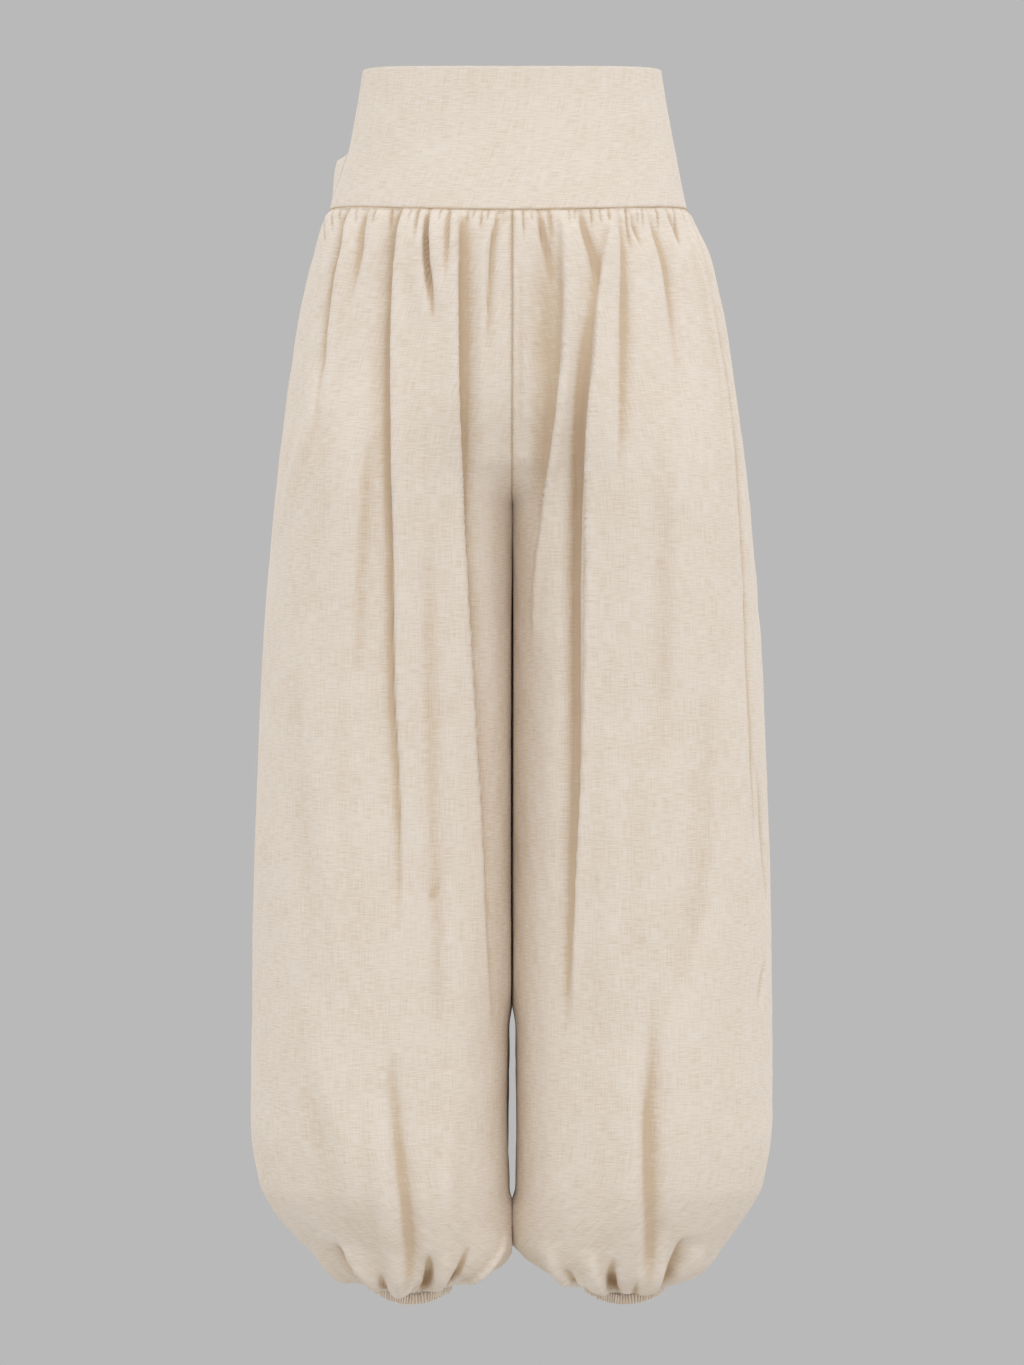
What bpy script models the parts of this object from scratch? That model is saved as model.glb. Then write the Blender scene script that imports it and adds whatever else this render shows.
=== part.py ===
# Balloon-leg trousers with a deep smooth waistband, standing open as when worn.
# Z is up, the front faces -Y, and the wearer's right side is at -X.
# The origin is the middle of the waist, where the wearer's body holds the waistband.

import math

import bpy
import numpy as np
from mathutils import Vector

MM = 0.001

# Driving sizes, in millimetres. A drop is measured down from the top edge at the side seams.
WAIST_DROP = 25.0
BAND_DEPTH = 114.0
CROTCH_DROP = 358.0
CUFF_DROP = 995.0
CUFF_BOTTOM = 1003.5
CUFF_DIP = 4.0
CUFF_CENTRE = 87.0
CUFF_HALF_WIDTH = 32.0
CUFF_HALF_DEPTH = 28.0
SEAM_GAP = 0.3

# How far each cuff stands off CUFF_CENTRE, outward, on the two legs.
CUFF_SHIFT = {"right": -5.0, "left": 5.0}
CUFF_SHIFT_FROM = 930.0

# Cloth walls.
LEG_WALL = 1.2
BAND_WALL = 2.0
CUFF_WALL = 1.8

# Gathers: waves along each panel's top edge, waves above each panel's cuff, ribs round a cuff.
TOP_GATHERS = 12
COLUMNS_PER_GATHER = 3
HEM_GATHERS = 7
CUFF_RIBS = 34
COLUMNS_PER_RIB = 3
RIB_HEIGHT = 1.0

# The right side of the hips stands out a little further than the left.
SWELL = 6.0
SWELL_DROP = 118.0
SWELL_ABOVE = 60.0
SWELL_BELOW = 38.0

BAND_COLUMNS = 16
CLOTH_COLOUR = (0.72, 0.65, 0.55, 1.0)
CLOTH_ROUGHNESS = 0.9

# Waistband sections: side is half the width, front and back the depths from the side seams' plane,
# dip how far the middle of the front hangs below the sides.
BAND_SECTIONS = (
    # drop, side, front, back, dip
    (0.0, 124.0, 88.0, 92.0, 6.0),
    (23.0, 126.0, 89.5, 94.5, 6.5),
    (48.0, 130.5, 93.0, 99.0, 7.0),
    (72.0, 135.0, 98.0, 105.0, 7.7),
    (95.0, 139.5, 103.5, 111.5, 8.4),
    (BAND_DEPTH, 143.5, 108.0, 117.0, 9.0),
)

# Leg sections: outer and inner are the side seam's and inseam's distances from the middle,
# lobe goes from 0, one round hip, to 1, two rounded legs, bridge is the depth to which the cloth
# spans the hollow between them above the crotch, and gather and hem are the heights of the waves
# under the yoke and above the cuff.
LEG_SECTIONS = (
    # drop, outer, inner, front, back, lobe, bridge, dip, gather, hem
    (BAND_DEPTH + SEAM_GAP, 143.2, 0.0, 107.7, 116.7, 0.0, 0.0, 9.0, 0.5, 0.0),
    (120.0, 145.5, 0.0, 110.0, 119.5, 0.0, 0.0, 9.0, 2.0, 0.0),
    (130.0, 150.5, 0.0, 113.0, 123.5, 0.01, 0.0, 8.5, 3.0, 0.0),
    (147.0, 159.0, 0.0, 116.5, 128.0, 0.03, 0.0, 7.5, 2.8, 0.0),
    (172.0, 167.3, 0.0, 119.5, 132.5, 0.08, 0.0, 6.0, 1.8, 0.0),
    (205.0, 175.0, 0.0, 121.5, 136.0, 0.17, 30.0, 4.0, 0.8, 0.0),
    (250.0, 181.8, 0.0, 122.5, 137.5, 0.34, 60.0, 2.0, 0.3, 0.0),
    (290.0, 187.3, 0.0, 121.7, 135.8, 0.62, 84.0, 0.5, 0.0, 0.0),
    (320.0, 190.9, 0.0, 120.5, 133.2, 0.85, 86.0, 0.0, 0.0, 0.0),
    (340.0, 193.0, 0.0, 119.5, 131.0, 0.96, 69.0, 0.0, 0.0, 0.0),
    (352.0, 194.1, 0.0, 119.0, 129.6, 0.99, 45.0, 0.0, 0.0, 0.0),
    (357.0, 194.6, 0.1, 118.7, 129.1, 0.998, 18.0, 0.0, 0.0, 0.0),
    (CROTCH_DROP, 194.7, 0.2, 118.6, 129.0, 1.0, 0.0, 0.0, 0.0, 0.0),
    (430.0, 200.5, 2.0, 114.0, 120.5, 1.0, 0.0, 0.0, 0.0, 0.0),
    (560.0, 208.3, 2.2, 109.5, 113.0, 1.0, 0.0, 0.0, 0.0, 0.0),
    (720.0, 212.4, 2.2, 107.0, 109.0, 1.0, 0.0, 0.0, 0.0, 0.0),
    (860.0, 213.2, 3.4, 106.0, 107.0, 1.0, 0.0, 0.0, 0.0, 0.0),
    (910.0, 206.2, 2.8, 102.0, 103.0, 1.0, 0.0, 0.0, 0.0, 0.8),
    (927.0, 198.0, 1.8, 97.5, 98.5, 1.0, 0.0, 0.0, 0.0, 1.6),
    (941.0, 188.6, 1.2, 91.5, 92.5, 1.0, 0.0, 0.5, 0.0, 2.6),
    (954.0, 178.4, 1.0, 84.5, 85.5, 1.0, 0.0, 1.2, 0.0, 3.6),
    (967.0, 167.6, 2.4, 75.5, 76.5, 1.0, 0.0, 2.0, 0.0, 4.2),
    (979.0, 157.0, 11.0, 64.0, 65.0, 1.0, 0.0, 3.0, 0.0, 4.0),
    (988.5, 143.5, 31.0, 48.0, 49.0, 1.0, 0.0, 3.7, 0.0, 2.5),
    (
        CUFF_DROP - SEAM_GAP,
        CUFF_CENTRE + CUFF_HALF_WIDTH,
        CUFF_CENTRE - CUFF_HALF_WIDTH,
        CUFF_HALF_DEPTH,
        CUFF_HALF_DEPTH,
        1.0,
        0.0,
        CUFF_DIP,
        0.0,
        0.0,
    ),
)

# The largest folds of each panel. A fold's line runs through three points, each a drop and a
# distance across from the middle as the panel shows it from the front or the back. It fades over
# the width on its inward and outward side, and height is below zero for a trough.
FOLD_COLUMNS = (
    "top", "top_x", "mid", "mid_x", "end", "end_x", "inward", "outward", "height",
)
FOLDS = {
    "right_leg_front": (
        (115, 43, 350, 43, 800, 18, 8, 22, 5.0),
        (116, 15, 190, 22, 290, 27, 6, 12, 4.0),
        (113, 90, 300, 101, 700, 88, 9, 14, -7.0),
        (116, 131, 190, 146, 300, 160, 8, 12, -5.0),
        (117, 103, 160, 115, 260, 133, 8, 12, 3.5),
        (257, 124, 400, 144, 620, 140, 22, 22, 3.5),
        (700, 156, 830, 146, 915, 122, 26, 14, 4.5),
        (800, 94, 880, 89, 970, 83, 14, 14, -4.0),
    ),
    "left_leg_front": (
        (115, 40, 225, 42, 335, 35, 7, 14, 6.0),
        (112, 81, 300, 62, 850, 46, 9, 26, 8.0),
        (280, 50, 430, 40, 700, 31, 12, 12, -6.0),
        (116, 85, 190, 89, 290, 82, 8, 8, -4.0),
        (118, 115, 180, 126, 320, 129, 9, 9, -3.5),
        (133, 149, 300, 181, 570, 194, 8, 8, -4.0),
        (840, 97, 910, 97, 985, 101, 24, 10, 4.5),
        (740, 116, 850, 107, 960, 110, 12, 14, -4.5),
    ),
    "right_leg_back": (
        (116, 30, 230, 36, 520, 34, 9, 18, 5.0),
        (115, 62, 250, 70, 430, 74, 8, 10, -5.0),
        (114, 96, 300, 112, 760, 110, 12, 16, -6.0),
        (118, 126, 200, 148, 330, 158, 8, 12, 4.0),
        (420, 60, 600, 66, 820, 58, 24, 20, 4.0),
        (640, 158, 800, 160, 920, 138, 20, 16, -4.0),
        (830, 104, 900, 100, 975, 94, 14, 14, 4.5),
    ),
    "left_leg_back": (
        (115, 24, 210, 26, 400, 22, 8, 14, 4.0),
        (114, 54, 280, 60, 640, 52, 9, 22, 6.5),
        (116, 88, 220, 100, 380, 104, 8, 10, -4.5),
        (118, 118, 260, 142, 700, 146, 14, 16, -5.5),
        (400, 96, 560, 92, 800, 88, 22, 22, 3.5),
        (700, 52, 820, 60, 930, 70, 18, 14, -4.0),
        (820, 128, 900, 122, 970, 104, 16, 12, 4.5),
    ),
}

# The back waistband puffs out behind the right side seam, just above the gathers.
BAND_PUFF = {"drop": 98.0, "reach": 34.0, "turn": 0.34, "spread": 0.2, "height": 9.0}


def smooth(low, high, value):
    share = min(1.0, max(0.0, (value - low) / (high - low)))
    return share * share * (3.0 - 2.0 * share)


def swell(drop, turn):
    # Extra width of the right side at this drop. Turn is the angle from the side seam.
    reach = SWELL_ABOVE if drop < SWELL_DROP else SWELL_BELOW
    rise = 1.0 - smooth(0.0, reach, abs(drop - SWELL_DROP))
    return SWELL * rise * max(0.0, math.cos(turn)) ** 2


def height_of(drop, dip, turn, is_front):
    # The middle of the front hangs below the side seams, and the back's middle rises half as much.
    sag = dip * math.sin(turn) ** 2
    return (WAIST_DROP - drop) - (sag if is_front else -0.5 * sag)


def lobe_of(section):
    # Half the width of a leg's rounded section, and how far its centre is from the middle.
    outer, inner, lobe = section[1], section[2], section[5]
    half_width = (outer - inner) / (1.0 + lobe)
    return half_width, outer - half_width


def widest_turn(section):
    # The turn at the middle seam: a quarter turn on a round hip, half a turn on a leg.
    lobe = section[5]
    return math.acos(-min(1.0, lobe))


def leg_point(section, turn, side, is_front):
    # A point of a leg's section. Turn runs from 0 at the side seam to half a turn at the inseam.
    drop, _, _, front, back, _, bridge, dip = section[:8]
    half_width, middle = lobe_of(section)
    middle += CUFF_SHIFT[side] * smooth(CUFF_SHIFT_FROM, CUFF_DROP, drop)
    x = middle + half_width * math.cos(turn)
    if side == "right":
        x = -(x + swell(drop, turn))
    depth = front if is_front else back
    span = bridge * depth / front * smooth(0.4, 1.0, turn / widest_turn(section))
    y = (abs(depth * math.sin(turn)) ** 4 + span ** 4) ** 0.25
    return Vector((x, -y if is_front else y, height_of(drop, dip, turn, is_front)))


def turn_of(section, place):
    # The turn of a column, from its share of the way from the middle seam to the side seam.
    # Columns far from the middle seam change their turn slowly from one section to the next.
    even = math.pi * (0.5 + 0.5 * smooth(150.0, 430.0, section[0]))
    rest = widest_turn(section) - even
    away = 1.0 - place
    return even * away + rest * away ** 5


def turn_at(section, across):
    # The turn at which this section shows at a distance across from the middle.
    half_width, middle = lobe_of(section)
    return math.acos(min(1.0, max(-1.0, (across - middle) / half_width)))


def fold_line(fold, drop):
    # Distance across at this drop, on the curve through the fold's three points.
    drops = (fold["top"], fold["mid"], fold["end"])
    acrosses = (fold["top_x"], fold["mid_x"], fold["end_x"])
    total = 0.0
    for i in range(3):
        share = 1.0
        for j in range(3):
            if j != i:
                share *= (drop - drops[j]) / (drops[i] - drops[j])
        total += acrosses[i] * share
    return total


def fold_height(fold, section, turn):
    # How far one fold lifts the cloth at this place on a section.
    drop = section[0]
    if not fold["top"] <= drop <= fold["end"]:
        return 0.0
    length = fold["end"] - fold["top"]
    fade = smooth(0.0, 0.15 * length, drop - fold["top"])
    fade *= smooth(0.0, 0.4 * length, fold["end"] - drop)
    line_turn = turn_at(section, fold_line(fold, drop))
    away = (line_turn - turn) * (lobe_of(section)[0] + section[3]) / 2.0
    width = fold["outward"] if away > 0.0 else fold["inward"]
    return fold["height"] * fade * math.exp(-((away / width) ** 2))


def uneven(i):
    # A repeatable factor that makes neighbouring gathers differ.
    return 0.78 + 0.22 * math.sin(2.4 * i * i + 0.7)


def column_places(count):
    # Shares of a panel from the middle seam, 0, to the side seam, 1, unevenly spaced.
    places = []
    for i in range(count + 1):
        share = i / count
        wobble = 0.012 * math.sin(5.0 * math.pi * share) + 0.006 * math.sin(11.0 * math.pi * share)
        places.append(share + wobble * math.sin(math.pi * share))
    return places


def wave_height(section, column, place):
    # Gathers under the yoke and above the cuff, level at the panel's seams.
    gather, hem = section[8], section[9]
    number = column // COLUMNS_PER_GATHER
    top_wave = math.cos(2.0 * math.pi * (column % COLUMNS_PER_GATHER) / COLUMNS_PER_GATHER)
    hem_wave = math.cos(2.0 * math.pi * HEM_GATHERS * place)
    hem_number = int(HEM_GATHERS * place)
    return gather * uneven(number) * top_wave + hem * uneven(hem_number + 40) * hem_wave


def turns_inward(side, is_front):
    # Whether a panel's columns, from middle seam to side seam, run round it the wrong way for
    # faces that look outward.
    return (side == "left") == is_front


def outward_normal(row, turn, side, is_front):
    # The leg's outward direction at a turn of one section, without folds. The slope down the
    # leg is taken at the same turn on the sections above and below.
    above = LEG_SECTIONS[max(row - 1, 0)]
    below = LEG_SECTIONS[min(row + 1, len(LEG_SECTIONS) - 1)]
    here = LEG_SECTIONS[row]
    down = leg_point(below, turn, side, is_front) - leg_point(above, turn, side, is_front)
    before = leg_point(here, turn - 0.01, side, is_front)
    after = leg_point(here, turn + 0.01, side, is_front)
    normal = (after - before).cross(down).normalized()
    return normal if turns_inward(side, is_front) else -normal


def leg_grid(side, is_front):
    # Points of a leg panel's outer face, a row for each section, from middle seam to side seam.
    name = f"{side}_leg_{'front' if is_front else 'back'}"
    folds = [dict(zip(FOLD_COLUMNS, row)) for row in FOLDS[name]]
    places = column_places(TOP_GATHERS * COLUMNS_PER_GATHER)
    turns = [[turn_of(s, place) for place in places] for s in LEG_SECTIONS]
    base = np.array(
        [
            [leg_point(s, turn, side, is_front) for turn in row]
            for s, row in zip(LEG_SECTIONS, turns)
        ]
    )
    grid = base.copy()
    for row, section in enumerate(LEG_SECTIONS):
        for column, place in enumerate(places):
            at_seam = smooth(0.0, 0.05, place) * smooth(0.0, 0.05, 1.0 - place)
            turn = turns[row][column]
            folded = sum(fold_height(fold, section, turn) for fold in folds)
            lift = at_seam * (folded + wave_height(section, column, place))
            grid[row, column] += lift * np.array(outward_normal(row, turn, side, is_front))
    return grid, turns_inward(side, is_front)


def band_grid(is_front):
    # Points of a waistband piece's outer face, from the right side seam to the left.
    rows = []
    for drop, side, front, back, dip in BAND_SECTIONS:
        row = []
        for i in range(BAND_COLUMNS + 1):
            angle = math.pi * i / BAND_COLUMNS
            turn = angle if angle < math.pi / 2.0 else math.pi - angle
            width = side
            depth = front if is_front else back
            if angle < math.pi / 2.0:
                width += swell(drop, turn)
            if angle < math.pi / 2.0 and not is_front:
                puff = BAND_PUFF["height"]
                puff *= 1.0 - smooth(0.0, BAND_PUFF["reach"], abs(drop - BAND_PUFF["drop"]))
                puff *= math.exp(-(((turn - BAND_PUFF["turn"]) / BAND_PUFF["spread"]) ** 2))
                width += puff
            y = depth * math.sin(angle) * (-1.0 if is_front else 1.0)
            z = height_of(drop, dip, turn, is_front)
            row.append((-width * math.cos(angle), y, z))
        rows.append(row)
    return np.array(rows)


def cloth_material(name):
    material = bpy.data.materials.new(f"{name}_linen")
    material.use_nodes = True
    shader = material.node_tree.nodes["Principled BSDF"]
    shader.inputs["Base Color"].default_value = CLOTH_COLOUR
    shader.inputs["Roughness"].default_value = CLOTH_ROUGHNESS
    shader.inputs["Metallic"].default_value = 0.0
    return material


def part_from_neighbours(mesh, limits):
    # Moves both faces of a panel back to its own side of the seams, half the gap from each plane.
    for vertex in mesh.vertices:
        for axis, sign in limits:
            least = SEAM_GAP / 2.0 * MM
            vertex.co[axis] = sign * max(least, sign * vertex.co[axis])


def add_panel(name, grid, wall, flip, limits, collection):
    # An open sheet through a grid of points, given its thickness inwards by Solidify.
    rows, columns = grid.shape[:2]
    faces = []
    for r in range(rows - 1):
        for c in range(columns - 1):
            here = r * columns + c
            face = (here, here + 1, here + columns + 1, here + columns)
            faces.append(face[::-1] if flip else face)
    mesh = bpy.data.meshes.new(name)
    mesh.from_pydata((grid.reshape(-1, 3) * MM).tolist(), [], faces)
    mesh.materials.append(cloth_material(name))
    mesh.shade_smooth()
    panel = bpy.data.objects.new(name, mesh)
    collection.objects.link(panel)
    thicken = panel.modifiers.new("cloth", "SOLIDIFY")
    thicken.thickness = wall * MM
    thicken.offset = -1.0
    thicken.use_even_offset = False
    graph = bpy.context.evaluated_depsgraph_get()
    panel.data = bpy.data.meshes.new_from_object(panel.evaluated_get(graph))
    panel.modifiers.remove(thicken)
    part_from_neighbours(panel.data, limits)
    return panel


def add_cuff(side, collection):
    # A ring of gathered elastic casing: ribs raised on the outside, plain inside.
    centre = CUFF_CENTRE + CUFF_SHIFT[side]
    if side == "right":
        centre = -centre
    count = CUFF_RIBS * COLUMNS_PER_RIB
    points = []
    middle_drop = (CUFF_DROP + CUFF_BOTTOM) / 2.0
    for drop, swelling in ((CUFF_DROP, 0.0), (middle_drop, 0.5), (CUFF_BOTTOM, 0.0)):
        for wall_side in ("outer", "inner"):
            for i in range(count):
                turn = 2.0 * math.pi * i / count
                out = 0.0
                if wall_side == "inner":
                    out = -CUFF_WALL
                elif i % COLUMNS_PER_RIB == 0:
                    out = RIB_HEIGHT * uneven(i // COLUMNS_PER_RIB) * (0.4 + swelling)
                x = centre + (CUFF_HALF_WIDTH + out) * math.cos(turn)
                y = (CUFF_HALF_DEPTH + out) * math.sin(turn)
                z = height_of(drop, CUFF_DIP, turn, y < 0.0)
                points.append((x * MM, y * MM, z * MM))
    loops = [list(range(k * count, (k + 1) * count)) for k in range(6)]
    top_out, top_in, mid_out, mid_in, low_out, low_in = loops
    order = [top_out, mid_out, low_out, low_in, mid_in, top_in, top_out]
    faces = []
    for upper, lower in zip(order[:-1], order[1:]):
        for i in range(count):
            j = (i + 1) % count
            faces.append((upper[i], lower[i], lower[j], upper[j]))
    mesh = bpy.data.meshes.new(f"{side}_cuff")
    mesh.from_pydata(points, [], faces)
    mesh.materials.append(cloth_material(mesh.name))
    mesh.shade_smooth()
    cuff = bpy.data.objects.new(f"{side}_cuff", mesh)
    collection.objects.link(cuff)
    return cuff


def main():
    for thing in list(bpy.data.objects):
        bpy.data.objects.remove(thing, do_unlink=True)
    trousers = bpy.data.collections.new("trousers")
    bpy.context.scene.collection.children.link(trousers)
    for is_front, name in ((True, "band_front"), (False, "band_back")):
        forward = (1, -1.0 if is_front else 1.0)
        grid = band_grid(is_front)
        add_panel(name, grid, BAND_WALL, not is_front, (forward,), trousers)
    for side in ("right", "left"):
        sideways = (0, -1.0 if side == "right" else 1.0)
        for is_front in (True, False):
            forward = (1, -1.0 if is_front else 1.0)
            name = f"{side}_leg_{'front' if is_front else 'back'}"
            grid, flip = leg_grid(side, is_front)
            add_panel(name, grid, LEG_WALL, flip, (sideways, forward), trousers)
        add_cuff(side, trousers)


main()
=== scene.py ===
import math

import bpy
import numpy as np
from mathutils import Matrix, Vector


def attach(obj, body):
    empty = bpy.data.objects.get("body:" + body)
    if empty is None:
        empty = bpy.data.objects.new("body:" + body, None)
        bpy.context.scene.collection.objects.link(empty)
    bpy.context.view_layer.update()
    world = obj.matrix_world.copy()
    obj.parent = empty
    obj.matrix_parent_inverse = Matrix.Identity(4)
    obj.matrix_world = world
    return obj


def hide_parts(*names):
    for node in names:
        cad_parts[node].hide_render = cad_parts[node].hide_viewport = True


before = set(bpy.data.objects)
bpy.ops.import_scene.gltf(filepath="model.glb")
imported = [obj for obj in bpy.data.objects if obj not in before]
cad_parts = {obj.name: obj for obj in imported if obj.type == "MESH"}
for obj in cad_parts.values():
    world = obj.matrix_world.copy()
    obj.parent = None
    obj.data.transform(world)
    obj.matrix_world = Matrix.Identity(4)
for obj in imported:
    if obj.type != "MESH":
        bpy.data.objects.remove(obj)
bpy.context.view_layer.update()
mm = 0.001

# All cloth sizes are in millimetres. A drop is measured down from the waistband's top edge at the
# side seams, and a distance across is measured outward from the middle of the trousers. Right and
# left are the wearer's, so the right leg is at -X and the front faces -Y.
cut = {
    "waistDrop": 25.0,
    "bandDepth": 114.0,
    "crotchDrop": 358.0,
    "cuffDrop": 995.0,
    "cuffBottom": 1003.5,
    "cuffDip": 4.0,
    "cuffRise": 4.5,  # how far the hem's sides are drawn up above its middle
    "cuffCentre": 87.0,
    "cuffShift": {"right": -5.0, "left": 5.0},
    "cuffShiftFrom": 930.0,
    "cuffHalfWidth": 32.0,
    "cuffHalfDepth": 28.0,
    "seamGap": 0.03,
}

# The right side of the hips stands out a little further than the left.
swell = {"size": 6.0, "drop": 118.0, "above": 60.0, "below": 38.0}


def smooth(low, high, value):
    share = np.clip((np.asarray(value, float) - low) / (high - low), 0.0, 1.0)
    return share * share * (3.0 - 2.0 * share)


def smoothTable(table, at):
    # A smooth curve through each column of a table, read at the places given for its first column.
    table = np.array(table, float)
    place, value = table[:, 0], table[:, 1:]
    slope = np.diff(value, axis=0) / np.diff(place)[:, None]
    tangent = np.zeros_like(value)
    before, after = slope[:-1], slope[1:]
    same = before * after > 0.0
    total = np.where(same, before + after, 1.0)
    tangent[1:-1] = np.where(same, 2.0 * before * after / total, 0.0)
    tangent[0], tangent[-1] = slope[0], slope[-1]
    at = np.asarray(at, float).ravel()
    i = np.clip(np.searchsorted(place, at, side="right") - 1, 0, len(place) - 2)
    step = (place[i + 1] - place[i])[:, None]
    t = (at - place[i])[:, None] / step
    return (
        value[i] * (1.0 + 2.0 * t) * (1.0 - t) ** 2
        + tangent[i] * step * t * (1.0 - t) ** 2
        + value[i + 1] * t * t * (3.0 - 2.0 * t)
        + tangent[i + 1] * step * t * t * (t - 1.0)
    )


def softNoise(seed, across, down, sizeAcross, sizeDown):
    # Smooth random heights from -1 to 1 over a surface, with features of the sizes given.
    lattice = np.random.default_rng(seed).uniform(-1.0, 1.0, (256, 256))
    u, v = across / sizeAcross + 100.0, down / sizeDown + 20.0
    i, j = np.floor(u).astype(int), np.floor(v).astype(int)
    s, t = u - i, v - j
    s, t = s * s * (3.0 - 2.0 * s), t * t * (3.0 - 2.0 * t)
    corner = [[lattice[(i + a) % 256, (j + b) % 256] for b in (0, 1)] for a in (0, 1)]
    upper = corner[0][0] * (1.0 - s) + corner[1][0] * s
    lower = corner[0][1] * (1.0 - s) + corner[1][1] * s
    return upper * (1.0 - t) + lower * t


def unit(vectors):
    return vectors / np.maximum(np.linalg.norm(vectors, axis=-1, keepdims=True), 1e-9)


def lengthAlong(points):
    # Distance along each row of a grid of points, from its first column.
    steps = np.linalg.norm(np.diff(points, axis=1), axis=2)
    return np.concatenate([np.zeros((len(points), 1)), np.cumsum(steps, axis=1)], axis=1)


def softened(values, arc, reach):
    # Each value averaged over the cloth within reach along its row.
    middle = 0.5 * (values[:, 1:] + values[:, :-1]) * np.diff(arc, axis=1)
    total = np.concatenate([np.zeros((len(values), 1)), np.cumsum(middle, axis=1)], axis=1)
    result = np.empty_like(values)
    for row in range(len(values)):
        low = np.maximum(arc[row] - reach, arc[row, 0])
        high = np.minimum(arc[row] + reach, arc[row, -1])
        summed = np.interp(high, arc[row], total[row]) - np.interp(low, arc[row], total[row])
        result[row] = summed / np.maximum(high - low, 1e-6)
    return result


def clothShell(name, points, normals, wall, uv, hollowShade, outwardFirst):
    # A thin closed shell: the grid of points is its outer face, and the inner one lies a wall inside.
    rows, columns = points.shape[:2]
    inside = points - normals * wall
    return shellBetween(name, points, inside, uv, hollowShade, outwardFirst)


def shellBetween(name, points, inside, uv, hollowShade, outwardFirst):
    rows, columns = points.shape[:2]
    if not outwardFirst:
        points, inside, uv, hollowShade = (grid[:, ::-1] for grid in (points, inside, uv, hollowShade))
    count = rows * columns
    here = (np.arange(rows - 1)[:, None] * columns + np.arange(columns - 1)[None, :]).ravel()
    outer = np.stack([here, here + columns, here + columns + 1, here + 1], axis=1)
    ring = np.concatenate(
        [
            np.arange(columns),
            np.arange(1, rows) * columns + columns - 1,
            (rows - 1) * columns + np.arange(columns - 2, -1, -1),
            np.arange(rows - 2, 0, -1) * columns,
        ]
    )
    after = np.roll(ring, -1)
    rim = np.stack([ring, after, after + count, ring + count], axis=1)
    faces = np.concatenate([outer, outer[:, ::-1] + count, rim])
    vertices = np.concatenate([points.reshape(-1, 3), inside.reshape(-1, 3)]) * mm
    mesh = bpy.data.meshes.new(name)
    mesh.from_pydata(vertices.tolist(), [], faces.tolist())
    layer = mesh.uv_layers.new(name="clothUv")
    both = np.concatenate([uv.reshape(-1, 2), uv.reshape(-1, 2)]) * mm
    corners = np.empty(len(mesh.loops), int)
    mesh.loops.foreach_get("vertex_index", corners)
    layer.data.foreach_set("uv", both[corners].ravel())
    # Painted shade amounts per point; the inner face gets a fixed half share of painted shade.
    shade = mesh.attributes.new("hollowShade", "FLOAT", "POINT")
    shade.data.foreach_set("value", np.concatenate([hollowShade.ravel(), hollowShade.ravel() * 0.0 + 0.5]))
    mesh.shade_smooth()
    piece = bpy.data.objects.new(name, mesh)
    bpy.context.scene.collection.objects.link(piece)
    return piece


def swellAt(drop, turn):
    reach = np.where(drop < swell["drop"], swell["above"], swell["below"])
    rise = 1.0 - smooth(0.0, 1.0, np.abs(drop - swell["drop"]) / reach)
    return swell["size"] * rise * np.maximum(0.0, np.cos(turn)) ** 2


# Legs. The sections repeat the part's own: outer and inner are the side seam's and inseam's
# distances from the middle, lobe goes from 0, one round hip, to 1, two rounded legs, and bridge is
# the depth to which the cloth spans the hollow between them above the crotch.
legSections = (
    # drop, outer, inner, front, back, lobe, bridge, dip
    (114.03, 143.2, 0.0, 107.7, 116.7, 0.0, 0.0, 9.0),
    (120.0, 145.5, 0.0, 110.0, 119.5, 0.0, 0.0, 9.0),
    (130.0, 150.5, 0.0, 113.0, 123.5, 0.01, 0.0, 8.5),
    (147.0, 159.0, 0.0, 116.5, 128.0, 0.03, 0.0, 7.5),
    (172.0, 167.3, 0.0, 119.5, 132.5, 0.08, 0.0, 6.0),
    (205.0, 175.0, 0.0, 121.5, 136.0, 0.17, 30.0, 4.0),
    (250.0, 181.8, 0.0, 122.5, 137.5, 0.34, 60.0, 2.0),
    (290.0, 187.3, 0.0, 121.7, 135.8, 0.62, 84.0, 0.5),
    (320.0, 190.9, 0.0, 120.5, 133.2, 0.85, 86.0, 0.0),
    (340.0, 193.0, 0.0, 119.5, 131.0, 0.96, 69.0, 0.0),
    (352.0, 194.1, 0.0, 119.0, 129.6, 0.99, 45.0, 0.0),
    (357.0, 194.6, 0.1, 118.7, 129.1, 0.998, 18.0, 0.0),
    (358.0, 194.7, 0.2, 118.6, 129.0, 1.0, 0.0, 0.0),
    (430.0, 200.5, 2.0, 114.0, 120.5, 1.0, 0.0, 0.0),
    (560.0, 208.3, 2.2, 109.5, 113.0, 1.0, 0.0, 0.0),
    (720.0, 212.4, 2.2, 107.0, 109.0, 1.0, 0.0, 0.0),
    (860.0, 213.2, 3.4, 106.0, 107.0, 1.0, 0.0, 0.0),
    (910.0, 206.2, 2.8, 102.0, 103.0, 1.0, 0.0, 0.0),
    (927.0, 198.0, 1.8, 97.5, 98.5, 1.0, 0.0, 0.0),
    (941.0, 188.6, 1.2, 91.5, 92.5, 1.0, 0.0, 0.5),
    (954.0, 178.4, 1.0, 84.5, 85.5, 1.0, 0.0, 1.2),
    (967.0, 168.6, 2.4, 77.0, 76.5, 1.0, 0.0, 2.0),
    (979.0, 160.0, 10.0, 68.0, 65.0, 1.0, 0.0, 3.2),
    (988.5, 149.5, 28.0, 52.0, 50.0, 1.0, 0.0, 3.6),
    (992.6, 138.0, 38.0, 41.0, 42.0, 1.0, 0.0, 3.4),
    (994.7, 119.0, 55.0, 28.0, 28.0, 1.0, 0.0, 4.0),
)

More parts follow.
